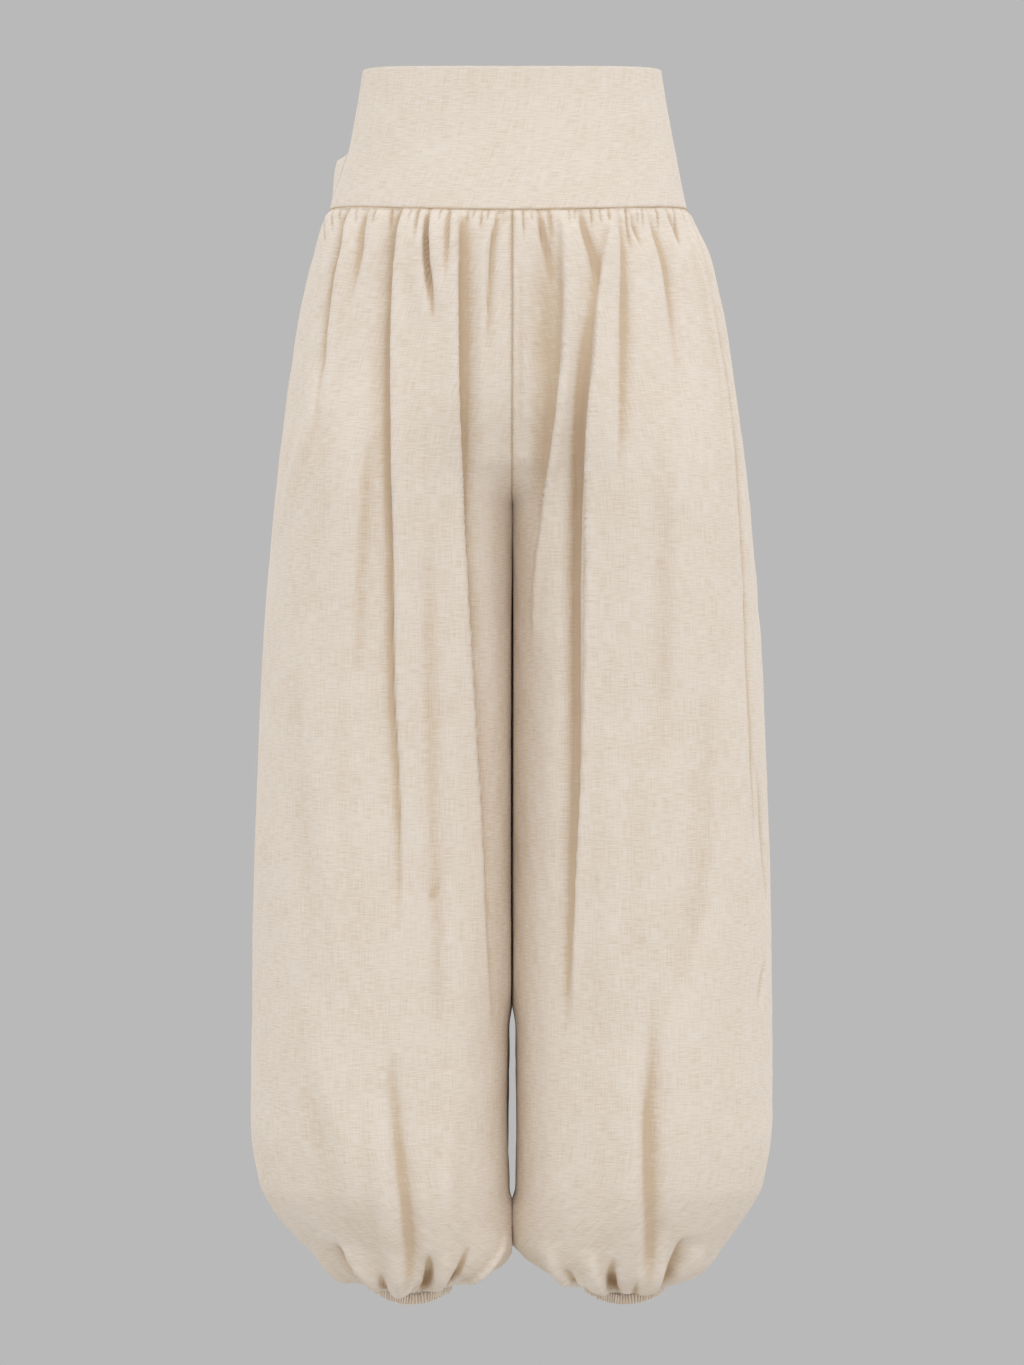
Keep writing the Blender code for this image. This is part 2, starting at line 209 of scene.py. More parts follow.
legCloth = {
    "columns": 150,
    "wall": 0.8,
    "seamFlat": 7.0,  # folds fade out this near the centre seam and the side seam
    "crumple": 0.45,  # height of the fine crumple
    "square": 0.36,  # how far the legs fill the corner where they press on each other
    "ditch": (0.35, 1.5),  # depth and half width of the hollow along a seam
    "lean": 0.5,  # how far a steep fold leans over the hollow beside it
    "allowance": (0.5, 2.0, 4.5),  # places across the hidden seam allowance
    "allowanceDepth": 2.2,  # how far inside the neighbouring panel it lies
}

# Distance between rows of the leg's mesh, closer where the cloth is gathered.
rowSteps = (
    # drop, step
    (114.03, 0.8), (124.0, 1.3), (150.0, 2.0), (230.0, 3.4), (320.0, 3.0), (345.0, 1.2), (362.0, 1.2),
    (400.0, 4.6), (870.0, 4.6), (930.0, 2.2), (975.0, 1.3), (989.0, 0.6), (994.7, 0.25),
)

# Each fold is a line of points, given as a distance across, a drop and a height there. A height below
# zero is a trough. The fold fades over the widths given inward and outward of its line, and a power
# of 2 gives a round top, of 1 a sharp one.
frontFolds = {
    "right": (
        # power, inward, outward, points
        (1.5, 4, 8, ((128, 115, -2), (132, 125, -6), (138, 145, -7), (145, 173, -7), (152, 233, -4), (157, 300, 0))),
        (1.6, 7, 5, ((126, 122, 0), (130, 140, 3), (138, 173, 4), (147, 233, 2.5), (150, 300, 0))),
        (1.4, 4, 7, ((113, 115, -1.5), (117, 127, -5), (122, 148, -5), (127, 175, -2), (130, 200, 0))),
        (1.7, 8, 7, ((100, 116, 0.5), (104, 128, 3), (112, 150, 3.5), (121, 178, 2.5), (133, 214, 1.5), (142, 250, 0))),
        (1.2, 2.2, 17, ((87, 114, -2), (90, 126, -7), (94, 148, -9), (97, 185, -10), (99, 240, -10), (98, 333, -8), (96, 390, -7), (95, 500, -6), (91, 574, -5), (89, 650, -3), (90, 700, 0))),
        (1.3, 10, 2.4, ((83, 118, 0), (88, 135, 2.5), (94, 190, 3.5), (95, 260, 3), (93, 420, 2), (89, 560, 0))),
        (1.2, 1.7, 1.7, ((65, 114, -2), (66.5, 126, -5), (67.5, 150, -6.5), (66, 172, -6), (64, 190, -3), (62, 212, 0))),
        (1.7, 9, 5, ((61, 120, 0), (61, 145, 3), (58, 175, 3), (55, 215, 0))),
        (1.7, 5, 8, ((71, 120, 0), (73, 145, 2.5), (72, 180, 2.5), (70, 215, 0))),
        (1.1, 1.8, 24, ((41, 115, 1), (43, 128, 5), (44, 165, 6), (44, 233, 7), (43, 351, 8), (41, 409, 8), (35, 514, 7), (28, 612, 5), (22, 724, 3), (16, 790, 0))),
        (1.5, 14, 1.8, ((38, 120, 0), (40, 140, -4), (41, 233, -6), (40, 351, -8), (37, 409, -8), (31, 514, -6), (25, 612, -4), (20, 700, 0))),
        (1.2, 5, 9, ((12, 115, 0), (15, 128, 3), (20, 150, 4), (22, 199, 4.5), (23, 233, 3), (26, 285, 0))),
        (1.3, 5, 2, ((11, 115, -2), (13, 126, -5), (17, 150, -5), (19, 199, -3), (20, 240, 0))),
        (2.0, 15, 15, ((124, 258, 0), (131, 314, 3), (135, 371, 3.5), (144, 409, 2.5), (148, 480, 0))),
        (1.6, 8, 14, ((152, 240, 0), (160, 282, 4.5), (169, 310, 4.5), (180, 348, 3), (188, 380, 0))),
        (1.8, 12, 10, ((116, 300, 0), (118, 360, -4), (121, 430, -4), (124, 520, 0))),
        (2.0, 16, 12, ((160, 440, 0), (158, 540, 3), (150, 650, 3), (140, 760, 0))),
        (1.8, 12, 10, ((66, 380, 0), (66, 480, -3), (62, 600, -3.5), (58, 720, -3), (58, 800, 0))),
        (1.9, 26, 13, ((156, 750, 0), (148, 820, 4), (138, 861, 5), (128, 895, 4), (119, 935, 0))),
        (1.7, 8, 8, ((98, 790, 0), (93, 840, -4), (88, 890, -5), (84, 929, -6), (82, 970, -4), (82, 986, 0))),
        (1.7, 12, 8, ((110, 830, 0), (105, 890, 4), (99, 945, 5), (93, 978, 4), (90, 993, 0))),
        (1.8, 10, 10, ((50, 850, 0), (54, 910, 3.5), (56, 950, 3.5), (58, 975, 0))),
    ),
    "left": (
        (1.2, 2.4, 4, ((21, 114, -2), (24, 133, -6), (29, 155, -4), (32, 178, 0))),
        (1.9, 22, 12, ((22, 128, 0), (26, 180, -7), (27, 250, -10), (24, 310, -10), (20, 352, -5), (18, 385, 0))),
        (1.3, 2.2, 10, ((38, 116, 1), (41, 140, 6), (43, 191, 9), (42, 225, 9), (36, 296, 8), (30, 342, 7), (25, 380, 5), (20, 427, 4), (17, 480, 0))),
        (1.3, 4, 5, ((54, 115, -2), (58, 133, -6), (65, 157, -5), (69, 180, -2), (70, 205, 0))),
        (1.6, 11, 4, ((60, 205, 0), (57, 250, -6), (53, 314, -10), (51, 371, -11), (50, 440, -10), (50, 560, -8), (47, 650, -6), (44, 730, -3), (43, 790, 0))),
        (1.1, 2, 28, ((80, 114, 1), (74, 150, 6), (70, 175, 7), (67, 209, 8), (65, 248, 9), (62, 296, 10), (62, 390, 10), (61, 502, 9), (59, 574, 8), (55, 650, 6), (51, 724, 4), (49, 785, 0))),
        (1.6, 5, 8, ((85, 115, -1.5), (88, 141, -5.5), (89, 191, -6), (88, 269, -4), (86, 340, 0))),
        (1.4, 3, 5, ((94, 115, -1.5), (99, 133, -5), (104, 152, 0))),
        (1.6, 5, 8, ((108, 115, -1), (117, 140, -5), (126, 175, -4.5), (131, 225, -2), (133, 262, 0))),
        (1.4, 3, 4, ((124, 115, -1), (129, 128, -4), (136, 148, 0))),
        (1.3, 3, 5, ((142, 116, -1.5), (154, 150, -5), (163, 188, -6), (170, 220, -6), (178, 277, -5.5), (184, 333, -5), (190, 427, -4.5), (192, 502, -4), (194, 556, -3), (196, 640, 0))),
        (1.4, 6, 2.4, ((139, 122, 0), (149, 150, 3.5), (158, 188, 4.5), (171, 270, 4), (180, 350, 2), (186, 420, 0))),
        (1.3, 3, 3, ((154, 128, 0), (164, 160, -4), (171, 188, -4), (179, 250, 0))),
        (2.0, 15, 15, ((118, 300, 0), (122, 380, -3), (122, 480, -3), (118, 600, 0))),
        (1.6, 16, 6, ((97, 790, 0), (98, 845, 5), (98, 912, 6), (99, 962, 6), (102, 985, 3), (103, 993, 0))),
        (1.7, 7, 12, ((114, 740, 0), (112, 811, -4), (109, 861, -5.5), (111, 920, -6), (113, 960, -5), (114, 985, 0))),
        (2.0, 24, 16, ((163, 460, 0), (157, 580, -3), (152, 668, -4), (139, 724, -3.5), (118, 785, 0))),
        (1.9, 12, 12, ((84, 520, 0), (82, 620, 3), (80, 720, 3), (80, 800, 0))),
        (1.9, 5, 6, ((199, 560, 0), (204, 620, -3), (209, 690, 0))),
        (1.6, 4, 6, ((207, 722, 0), (203, 742, -2.5), (198, 768, 0))),
    ),
}

# Folds that run across the leg: a distance across, a drop and a height at each point.
frontCreases = {
    "right": (
        # power, upward, downward, points
        (1.3, 2.5, 5, ((34, 805, 0), (50, 809, -1.0), (75, 812, -1.2), (94, 813, 0))),
        (1.4, 5, 4, ((54, 667, 0), (62, 671, -2.2), (70, 672, 0))),
        (1.4, 2.5, 1.5, ((78, 984, 0), (84, 988, 3), (96, 989, 3), (103, 986, 0))),
    ),
    "left": (
        (1.3, 4, 1.6, ((40, 984, 0), (50, 984, 4.5), (64, 983, 4.5), (73, 986, 0))),
        (1.3, 3, 1.4, ((84, 990, 0), (92, 989, 3), (104, 990, 3), (114, 990, 0))),
    ),
}

# Folds gathered into the cuff, by the same rule as the long folds.
hemFolds = {
    "right": (
        (1.2, 14, 2, ((108, 994, 1), (114, 984, 7), (122, 976, 7), (129, 966, 5), (138, 954, 0))),
        (1.3, 2.5, 10, ((112, 993, -4), (118, 985, -11), (126, 977, -12), (134, 967, -8), (143, 952, 0))),
        (2.0, 8, 12, ((162, 955, 0), (154, 970, 2.5), (146, 982, 4), (138, 989, 5), (130, 993, 4.5), (122, 994.7, 2))),
        (1.3, 3, 4, ((73, 994, -3), (70, 990, -9), (67, 983, -10), (66, 973, -7), (67, 958, 0))),
        (1.5, 7, 6, ((66, 994, 1), (60, 988, 6), (56, 978, 6), (54, 958, 0))),
        (1.3, 3, 4, ((60, 994, -2), (54, 990, -7), (46, 982, -7), (40, 970, -5), (36, 955, 0))),
        (1.5, 8, 4, ((46, 992, 1), (32, 984, 6), (20, 974, 6), (12, 962, 4), (7, 944, 0))),
        (1.4, 3, 3, ((98, 994, -2), (100, 991, -5), (104, 985, -5), (106, 974, 0))),
        (1.5, 5, 5, ((90, 994, 1), (91, 988, 4), (92, 976, 3), (94, 960, 0))),
    ),
    "left": (
        (1.3, 2.2, 12, ((114, 994, -2), (119, 990, -8), (124, 984, -12), (129, 972, -11), (133, 960, -7), (138, 946, 0))),
        (1.6, 9, 4, ((110, 993, 1), (114, 986, 7), (118, 975, 8), (121, 960, 5), (124, 942, 0))),
        (1.6, 6, 10, ((126, 992, 1), (136, 982, 5), (144, 970, 5), (150, 955, 0))),
        (1.3, 3, 4, ((86, 994, -3), (84, 991, -10), (80, 985, -11), (80, 975, -6), (82, 960, 0))),
        (1.5, 8, 5, ((78, 994, 1), (74, 987, 8), (68, 976, 7), (62, 955, 0))),
        (1.4, 5, 3, ((70, 994, -2), (66, 991, -7), (58, 987, -8), (50, 982, -5), (44, 972, 0))),
        (1.6, 10, 8, ((58, 993, 1), (44, 985, 6), (34, 972, 5), (28, 952, 0))),
        (1.4, 3, 3, ((98, 994, -2), (99, 990, -4), (100, 983, -3), (101, 974, 0))),
    ),
}

backFolds = {
    "right": (
        (1.2, 2.4, 20, ((28, 115, 1), (32, 140, 6), (36, 230, 8), (35, 380, 7), (33, 520, 4), (30, 620, 0))),
        (1.4, 5, 9, ((60, 115, -2), (65, 150, -7), (70, 250, -7), (73, 360, -5), (74, 450, 0))),
        (1.3, 5, 12, ((94, 114, -2), (102, 160, -7), (111, 300, -9), (112, 520, -7), (110, 680, -4), (110, 780, 0))),
        (1.6, 7, 10, ((124, 116, 1), (138, 165, 5), (152, 240, 5), (158, 340, 0))),
        (1.4, 4, 6, ((46, 115, -1), (49, 135, -5), (54, 165, 0))),
        (1.4, 4, 6, ((78, 115, -1), (83, 138, -5), (86, 175, 0))),
        (1.4, 4, 6, ((112, 115, -1), (118, 135, -5), (126, 170, 0))),
        (1.4, 4, 6, ((134, 116, -1), (142, 140, -5), (152, 180, 0))),
        (1.3, 4, 5, ((148, 120, -1), (160, 165, -5), (172, 240, -4), (184, 340, 0))),
        (2.0, 22, 18, ((60, 420, 0), (64, 520, 5), (66, 640, 5), (58, 820, 0))),
        (1.8, 16, 12, ((160, 600, 0), (161, 720, -5), (154, 840, -5), (138, 920, 0))),
        (1.7, 12, 10, ((104, 830, 0), (101, 890, 5), (97, 940, 6), (94, 975, 0))),
        (2.0, 16, 20, ((162, 940, 0), (156, 960, 4), (150, 974, 5), (142, 984, 6), (134, 990, 6), (122, 994.5, 2))),
        (1.5, 6, 10, ((112, 994, -2), (122, 984, -9), (134, 968, -9), (144, 940, 0))),
        (1.4, 4, 5, ((86, 994, -2), (86, 988, -8), (86, 974, -7), (88, 950, 0))),
        (1.5, 7, 7, ((74, 994, 1), (72, 984, 6), (70, 965, 5), (70, 945, 0))),
        (1.4, 4, 5, ((62, 994, -2), (56, 987, -8), (48, 972, -7), (38, 950, 0))),
    ),
    "left": (
        (1.2, 2.4, 14, ((23, 115, 1), (25, 150, 5), (26, 210, 6), (24, 300, 5), (22, 410, 0))),
        (1.2, 2.4, 24, ((52, 114, 1), (57, 170, 7), (60, 280, 9), (57, 450, 7), (52, 580, 4), (50, 680, 0))),
        (1.6, 12, 4, ((50, 125, 0), (52, 170, -5), (54, 280, -7), (51, 450, -6), (46, 620, 0))),
        (1.5, 5, 8, ((87, 115, -2), (93, 150, -6), (100, 220, -6), (104, 400, 0))),
        (1.4, 8, 12, ((117, 115, -2), (130, 180, -7), (142, 260, -8), (148, 460, -7), (146, 620, -4), (145, 740, 0))),
        (1.4, 4, 6, ((38, 115, -1), (40, 135, -5), (43, 160, 0))),
        (1.4, 4, 6, ((70, 115, -1), (74, 138, -5), (78, 180, 0))),
        (1.4, 4, 6, ((103, 115, -1), (109, 135, -5), (116, 168, 0))),
        (1.4, 4, 6, ((136, 116, -1), (146, 145, -5), (158, 195, 0))),
        (1.3, 3, 5, ((146, 118, -1), (158, 160, -5), (170, 225, -5), (182, 320, -4), (188, 430, 0))),
        (2.0, 20, 20, ((96, 400, 0), (94, 500, 5), (91, 640, 4), (88, 800, 0))),
        (1.8, 14, 12, ((52, 700, 0), (58, 790, -5), (65, 870, -5), (70, 930, 0))),
        (1.7, 12, 9, ((128, 820, 0), (124, 880, 6), (116, 930, 6), (104, 970, 0))),
        (1.5, 6, 10, ((116, 994, -2), (126, 984, -9), (140, 966, -9), (152, 938, 0))),
        (1.4, 4, 5, ((94, 994, -2), (95, 988, -8), (96, 974, -7), (98, 950, 0))),
        (1.5, 7, 7, ((84, 994, 1), (81, 984, 6), (78, 965, 5), (76, 945, 0))),
        (1.4, 5, 4, ((72, 994, -2), (64, 986, -8), (55, 974, -7), (45, 950, 0))),
    ),
}

# The small gathers under the yoke, where each starts and ends across, its length and depth and the
# half width of its hollow.
yokeGathers = {
    "right": (
        # across, acrossEnd, length, depth, width
        (6, 6.5, 12, 1.8, 1.3), (18.8, 19, 9, 1.8, 1.1), (24.5, 24.5, 12, 2.2, 1.2), (30, 30, 7, 1.4, 1.0),
        (35, 35, 9, 1.5, 1.0), (49, 53, 40, 3.2, 2.4), (56, 56.5, 9, 1.6, 1.1), (73, 77, 18, 2.6, 1.5),
        (79, 81, 9, 1.6, 1.1), (94, 97, 12, 1.8, 1.1), (107, 109, 10, 1.7, 1.1), (121, 123, 10, 1.8, 1.1),
        (134, 136, 9, 1.6, 1.0), (139, 142, 14, 2.2, 1.2), (145, 150, 20, 2.2, 1.3),
    ),
    "left": (
        (9, 10, 16, 2.2, 1.3), (15, 16, 8, 1.5, 1.0), (29, 33, 18, 2.6, 1.4), (45, 46, 10, 1.7, 1.1),
        (50, 50, 8, 1.4, 1.0), (63, 64, 12, 1.8, 1.1), (70, 71, 9, 1.7, 1.0), (77, 78, 10, 1.9, 1.1),
        (91, 96, 24, 2.6, 1.5), (100, 102, 11, 1.7, 1.1), (104, 106, 14, 2.0, 1.2), (116, 119, 12, 2.0, 1.1),
        (130, 135, 20, 2.2, 1.3), (137, 139, 9, 1.6, 1.0), (142, 147, 15, 2.0, 1.2),
    ),
    "back": {"pitch": 8.5, "length": (9.0, 34.0), "depth": (1.6, 3.0), "width": (1.0, 1.9)},
    "reach": 1.9,  # every length above is this many times longer, fading out
    "puff": 2.2,  # how far the cloth between gathers stands out under the seam
    "pucker": 0.5,  # height of the finest puckers at the seam itself
}

hemGathers = {"count": 34, "depth": (2.0, 4.4), "length": (8.0, 30.0), "width": (1.4, 3.0), "puff": 1.5}

# The legs press on each other from the crotch to above the knee, on a slightly wavy line.
press = {
    "from": (345.0, 362.0),
    "to": (740.0, 785.0),
    "reach": 6.0,
    "depth": 46.0,
    "wave": 0.7,
    "length": 60.0,
    "slit": 0.9,  # half the gap between the legs' front edges, closed again further in
    "slitFrom": (362.0, 470.0),
    "slitTo": (760.0, 800.0),
    "slitDepth": (4.0, 24.0),
}
hemPress = {"from": (915.0, 935.0), "to": (958.0, 972.0)}


def rowDrops():
    # Drops of the leg's rows, with one exactly at the crotch.
    steps = np.array(rowSteps)
    drops = [rowSteps[0][0]]
    while drops[-1] < rowSteps[-1][0] - 0.5:
        drops.append(drops[-1] + float(np.interp(drops[-1], steps[:, 0], steps[:, 1])))
    drops = np.array(drops)
    drops[-1] = rowSteps[-1][0]
    drops[np.argmin(np.abs(drops - cut["crotchDrop"]))] = cut["crotchDrop"]
    return drops


def columnPlaces():
    # Shares of a panel from the middle seam, 1, to the side seam, 0, closer together in front.
    even = np.linspace(1.0, 0.0, legCloth["columns"] + 1)
    weight = 1.0 + 0.7 * np.exp(-(((even - 0.64) / 0.2) ** 2))
    steps = 1.0 / (0.5 * (weight[1:] + weight[:-1]))
    return 1.0 - np.concatenate([[0.0], np.cumsum(steps)]) / steps.sum()


def legSurface(side, isFront, drops, turn):
    # The cloth without folds. Turn is 0 at the side seam and half a turn at the inseam.
    columns = smoothTable(legSections, drops).T[:, :, None]
    outer, inner, front, back, lobe, bridge, dip = columns
    halfWidth = (outer - inner) / (1.0 + lobe)
    widest = np.arccos(-np.clip(lobe, 0.0, 1.0))
    depth = front if isFront else back
    shift = cut["cuffShift"][side] * smooth(cut["cuffShiftFrom"], cut["cuffDrop"], drops)[:, None]
    x = outer - halfWidth + shift + halfWidth * np.cos(turn)
    span = bridge * depth / front * smooth(0.4, 1.0, turn / widest)
    full = smooth(290.0, 352.0, drops) * (1.0 - 0.35 * smooth(400.0, 560.0, drops))
    full = full * (1.0 - smooth(900.0, 960.0, drops))
    square = legCloth["square"] * full[:, None] * smooth(1.5, 2.3, turn)
    y = (np.abs(depth * np.abs(np.sin(turn)) ** (1.0 - square)) ** 4 + span ** 4) ** 0.25
    sag = dip * np.sin(turn) ** 2 * (1.0 if isFront else -0.5)
    rise = cut["cuffRise"] * np.cos(turn) ** 2 * smooth(945.0, cut["cuffDrop"], drops)[:, None]
    z = cut["waistDrop"] - drops[:, None] - sag + rise
    if side == "right":
        x = -(x + swellAt(drops[:, None], turn))
    return np.stack([x, -y if isFront else y, z], axis=2)


def legForm(side, isFront):
    drops = rowDrops()
    outer, inner, front, back, lobe, _, _ = smoothTable(legSections, drops).T
    halfWidth = (outer - inner) / (1.0 + lobe)
    widest = np.arccos(-np.clip(lobe, 0.0, 1.0))
    even = math.pi * (0.5 + 0.5 * smooth(150.0, 430.0, drops))
    place = columnPlaces()[None, :]
    turn = even[:, None] * place + (widest - even)[:, None] * place ** 5
    points = legSurface(side, isFront, drops, turn)
    around = legSurface(side, isFront, drops, turn + 0.002) - legSurface(side, isFront, drops, turn - 0.002)
    down = legSurface(side, isFront, drops + 0.05, turn) - legSurface(side, isFront, drops - 0.05, turn)
    outwardSign = 1.0 if (side == "left") == isFront else -1.0
    shift = cut["cuffShift"][side] * smooth(cut["cuffShiftFrom"], cut["cuffDrop"], drops)
    middle = outer - halfWidth + shift
    arc = lengthAlong(points)
    middleLine = points[:, len(place[0]) // 2]
    meridian = np.concatenate([[0.0], np.cumsum(np.linalg.norm(np.diff(middleLine, axis=0), axis=1))])
    return {
        "points": points,
        "normals": unit(np.cross(around, down)) * outwardSign,
        "along": unit(around),
        "drops": drops,
        "turn": turn,
        "widest": widest,
        "halfWidth": halfWidth,
        "middle": middle,
        "girth": (halfWidth + (front if isFront else back)) / 2.0,
        "across": middle[:, None] + halfWidth[:, None] * np.cos(turn),
        "arc": arc,
        "fromSide": arc[:, -1:] - arc,
        "meridian": meridian,
    }


def awayFrom(form, across):
    # Distance of each point outward from a line given by its distance across in each row.
    lineTurn = np.arccos(np.clip((across - form["middle"]) / form["halfWidth"], -1.0, 1.0))
    return (lineTurn[:, None] - form["turn"]) * form["girth"][:, None]


def downFold(form, power, inward, outward, points):
    # The lift of one fold that runs down the leg.
    path = np.array([(drop, across, height) for across, drop, height in points], float)
    path = path[np.argsort(path[:, 0])]
    drops = form["drops"]
    across, height = smoothTable(path, np.clip(drops, path[0, 0], path[-1, 0])).T
    height = np.where((drops >= path[0, 0]) & (drops <= path[-1, 0] + 1.0), height, 0.0)
    away = awayFrom(form, across)
    width = np.where(away > 0.0, outward, inward)
    return height[:, None] * np.exp(-np.abs(away / width) ** power)


def levelFold(form, power, upward, downward, points):
    # The lift of one fold that runs across the leg.
    path = np.array(points, float)
    across = form["across"]
    near = np.clip(across.ravel(), path[0, 0], path[-1, 0])
    line, height = smoothTable(path, near).T
    inside = (across >= path[0, 0]) & (across <= path[-1, 0])
    away = form["drops"][:, None] - line.reshape(across.shape)
    width = np.where(away > 0.0, downward, upward)
    lift = np.where(inside, height.reshape(across.shape), 0.0)
    return lift * np.exp(-np.abs(away / width) ** power)


def yokeLift(form, side, isFront, seed):
    # Narrow hollows under the yoke with rounded cloth between them.
    random = np.random.default_rng(seed)
    below = form["drops"] - form["drops"][0]
    puff = yokeGathers["puff"] * smooth(0.0, 7.0, below) * (1.0 - smooth(18.0, 90.0, below))
    lift = np.repeat(puff[:, None], form["turn"].shape[1], axis=1)
    if isFront:
        gathers = yokeGathers[side]
    else:
        sizes = yokeGathers["back"]
        gathers = []
        across = 4.0
        while across < 140.0:
            length = random.uniform(*sizes["length"])
            end = across + 0.12 * length * random.uniform(-0.4, 1.2)
            depth = random.uniform(*sizes["depth"])
            gathers.append((across, end, length, depth, random.uniform(*sizes["width"])))
            across += sizes["pitch"] * random.uniform(0.6, 1.4)
    for across, acrossEnd, length, depth, width in gathers:
        share = np.clip(below / (length * yokeGathers["reach"]), 0.0, 1.0)
        away = awayFrom(form, across + (acrossEnd - across) * share)
        fade = smooth(-1.0, 3.0, below) * (1.0 - smooth(0.35, 1.0, share))
        spread = width * (0.7 + 0.9 * share)
        lift -= 1.25 * depth * fade[:, None] * np.exp(-np.abs(away / spread[:, None]) ** 1.3)
    fine = softNoise(seed + 5, form["fromSide"], below[:, None] + 0.0 * lift, 1.7, 14.0)
    return lift + yokeGathers["pucker"] * fine * (1.0 - smooth(1.0, 12.0, below))[:, None]


def hemLift(form, seed):
    # Small uneven gathers above the cuff, run up from it like spokes.
    random = np.random.default_rng(seed)
    above = form["meridian"][-1] - form["meridian"]
    puff = hemGathers["puff"] * smooth(0.0, 6.0, above) * (1.0 - smooth(10.0, 30.0, above))
    lift = np.repeat(puff[:, None], form["turn"].shape[1], axis=1)
    count = hemGathers["count"]
    for number in range(count):
        line = (number + 0.5 + random.uniform(-0.35, 0.35)) * math.pi / count
        length = random.uniform(*hemGathers["length"])
        depth = random.uniform(*hemGathers["depth"])
        width = random.uniform(*hemGathers["width"])
        away = (form["turn"] - line) * form["girth"][:, None]
        fade = smooth(0.0, 1.5, above) * (1.0 - smooth(0.3 * length, length, above))
        spread = width * (0.4 + 0.6 * smooth(0.0, length, above))
        lift -= depth * fade[:, None] * np.exp(-np.abs(away / spread[:, None]) ** 1.4)
    return lift


def crumpleLift(form, seed):
    across = form["fromSide"]
    down = form["meridian"][:, None] + 0.0 * across
    wide = softNoise(seed, across, down, 34.0, 90.0)
    fine = softNoise(seed + 1, across + 0.25 * down, down, 9.0, 22.0)
    small = softNoise(seed + 2, across - 0.3 * down, down, 5.0, 9.0)
    return legCloth["crumple"] * (2.6 * wide + 0.8 * fine + 0.4 * small)


def pressedTogether(form, side, points):
    # Moves the inner side of a leg to the other leg, on a line that waves a little front to back.
    drops = form["drops"]
    share = smooth(*press["from"], drops) * (1.0 - smooth(*press["to"], drops))
    share = np.maximum(share, smooth(*hemPress["from"], drops) * (1.0 - smooth(*hemPress["to"], drops)))
    sign = -1.0 if side == "right" else 1.0
    y = points[..., 1]
    near = np.exp(-((y / press["depth"]) ** 2)) * smooth(1.7, 2.5, form["turn"])
    away = sign * points[..., 0] - press["reach"] * share[:, None] * near
    wave = press["wave"] * np.sin(2.0 * math.pi * (y - 5.0) / press["length"])
    limit = cut["seamGap"] / 2.0 + sign * wave * share[:, None] * near
    slit = smooth(*press["slitFrom"], drops) * (1.0 - smooth(*press["slitTo"], drops))
    limit += press["slit"] * slit[:, None] * smooth(*press["slitDepth"], -y)
    points[..., 0] = sign * np.maximum(away, limit)


def closeSeams(form, side, isFront, face):
    # Keeps a panel on its own side of its seams, with its edges exactly along them.
    half = cut["seamGap"] / 2.0
    outward = -1.0 if side == "right" else 1.0
    forward = -1.0 if isFront else 1.0
    face[..., 1] = forward * np.maximum(forward * face[..., 1], half)
    face[:, -1, 1] = forward * half
    aboveCrotch = form["drops"] < cut["crotchDrop"]
    face[aboveCrotch, 0, 0] = outward * half
    face[~aboveCrotch, 0, 1] = forward * half


# Painted shade: a warmer, darker tone stands in for the shade and warm bounced light in fold hollows,
# along the seams, under the yoke seam and on the legs' inner sides. Each reach is how far round a point is averaged,
# the depth below that which counts as a full hollow, and its share of the tone.
hollowShadeTone = {
    "reaches": ((4.0, 1.0, 0.5), (9.0, 2.6, 0.5), (28.0, 5.5, 0.5)),
    "inner": 0.35,
    "seam": 0.7,
    "yoke": (0.75, 1.3),
    "slit": (4.0, 0.9, 1.6, 0.3),
    "hemSlit": (1.0, 22.0, 50.0),
}


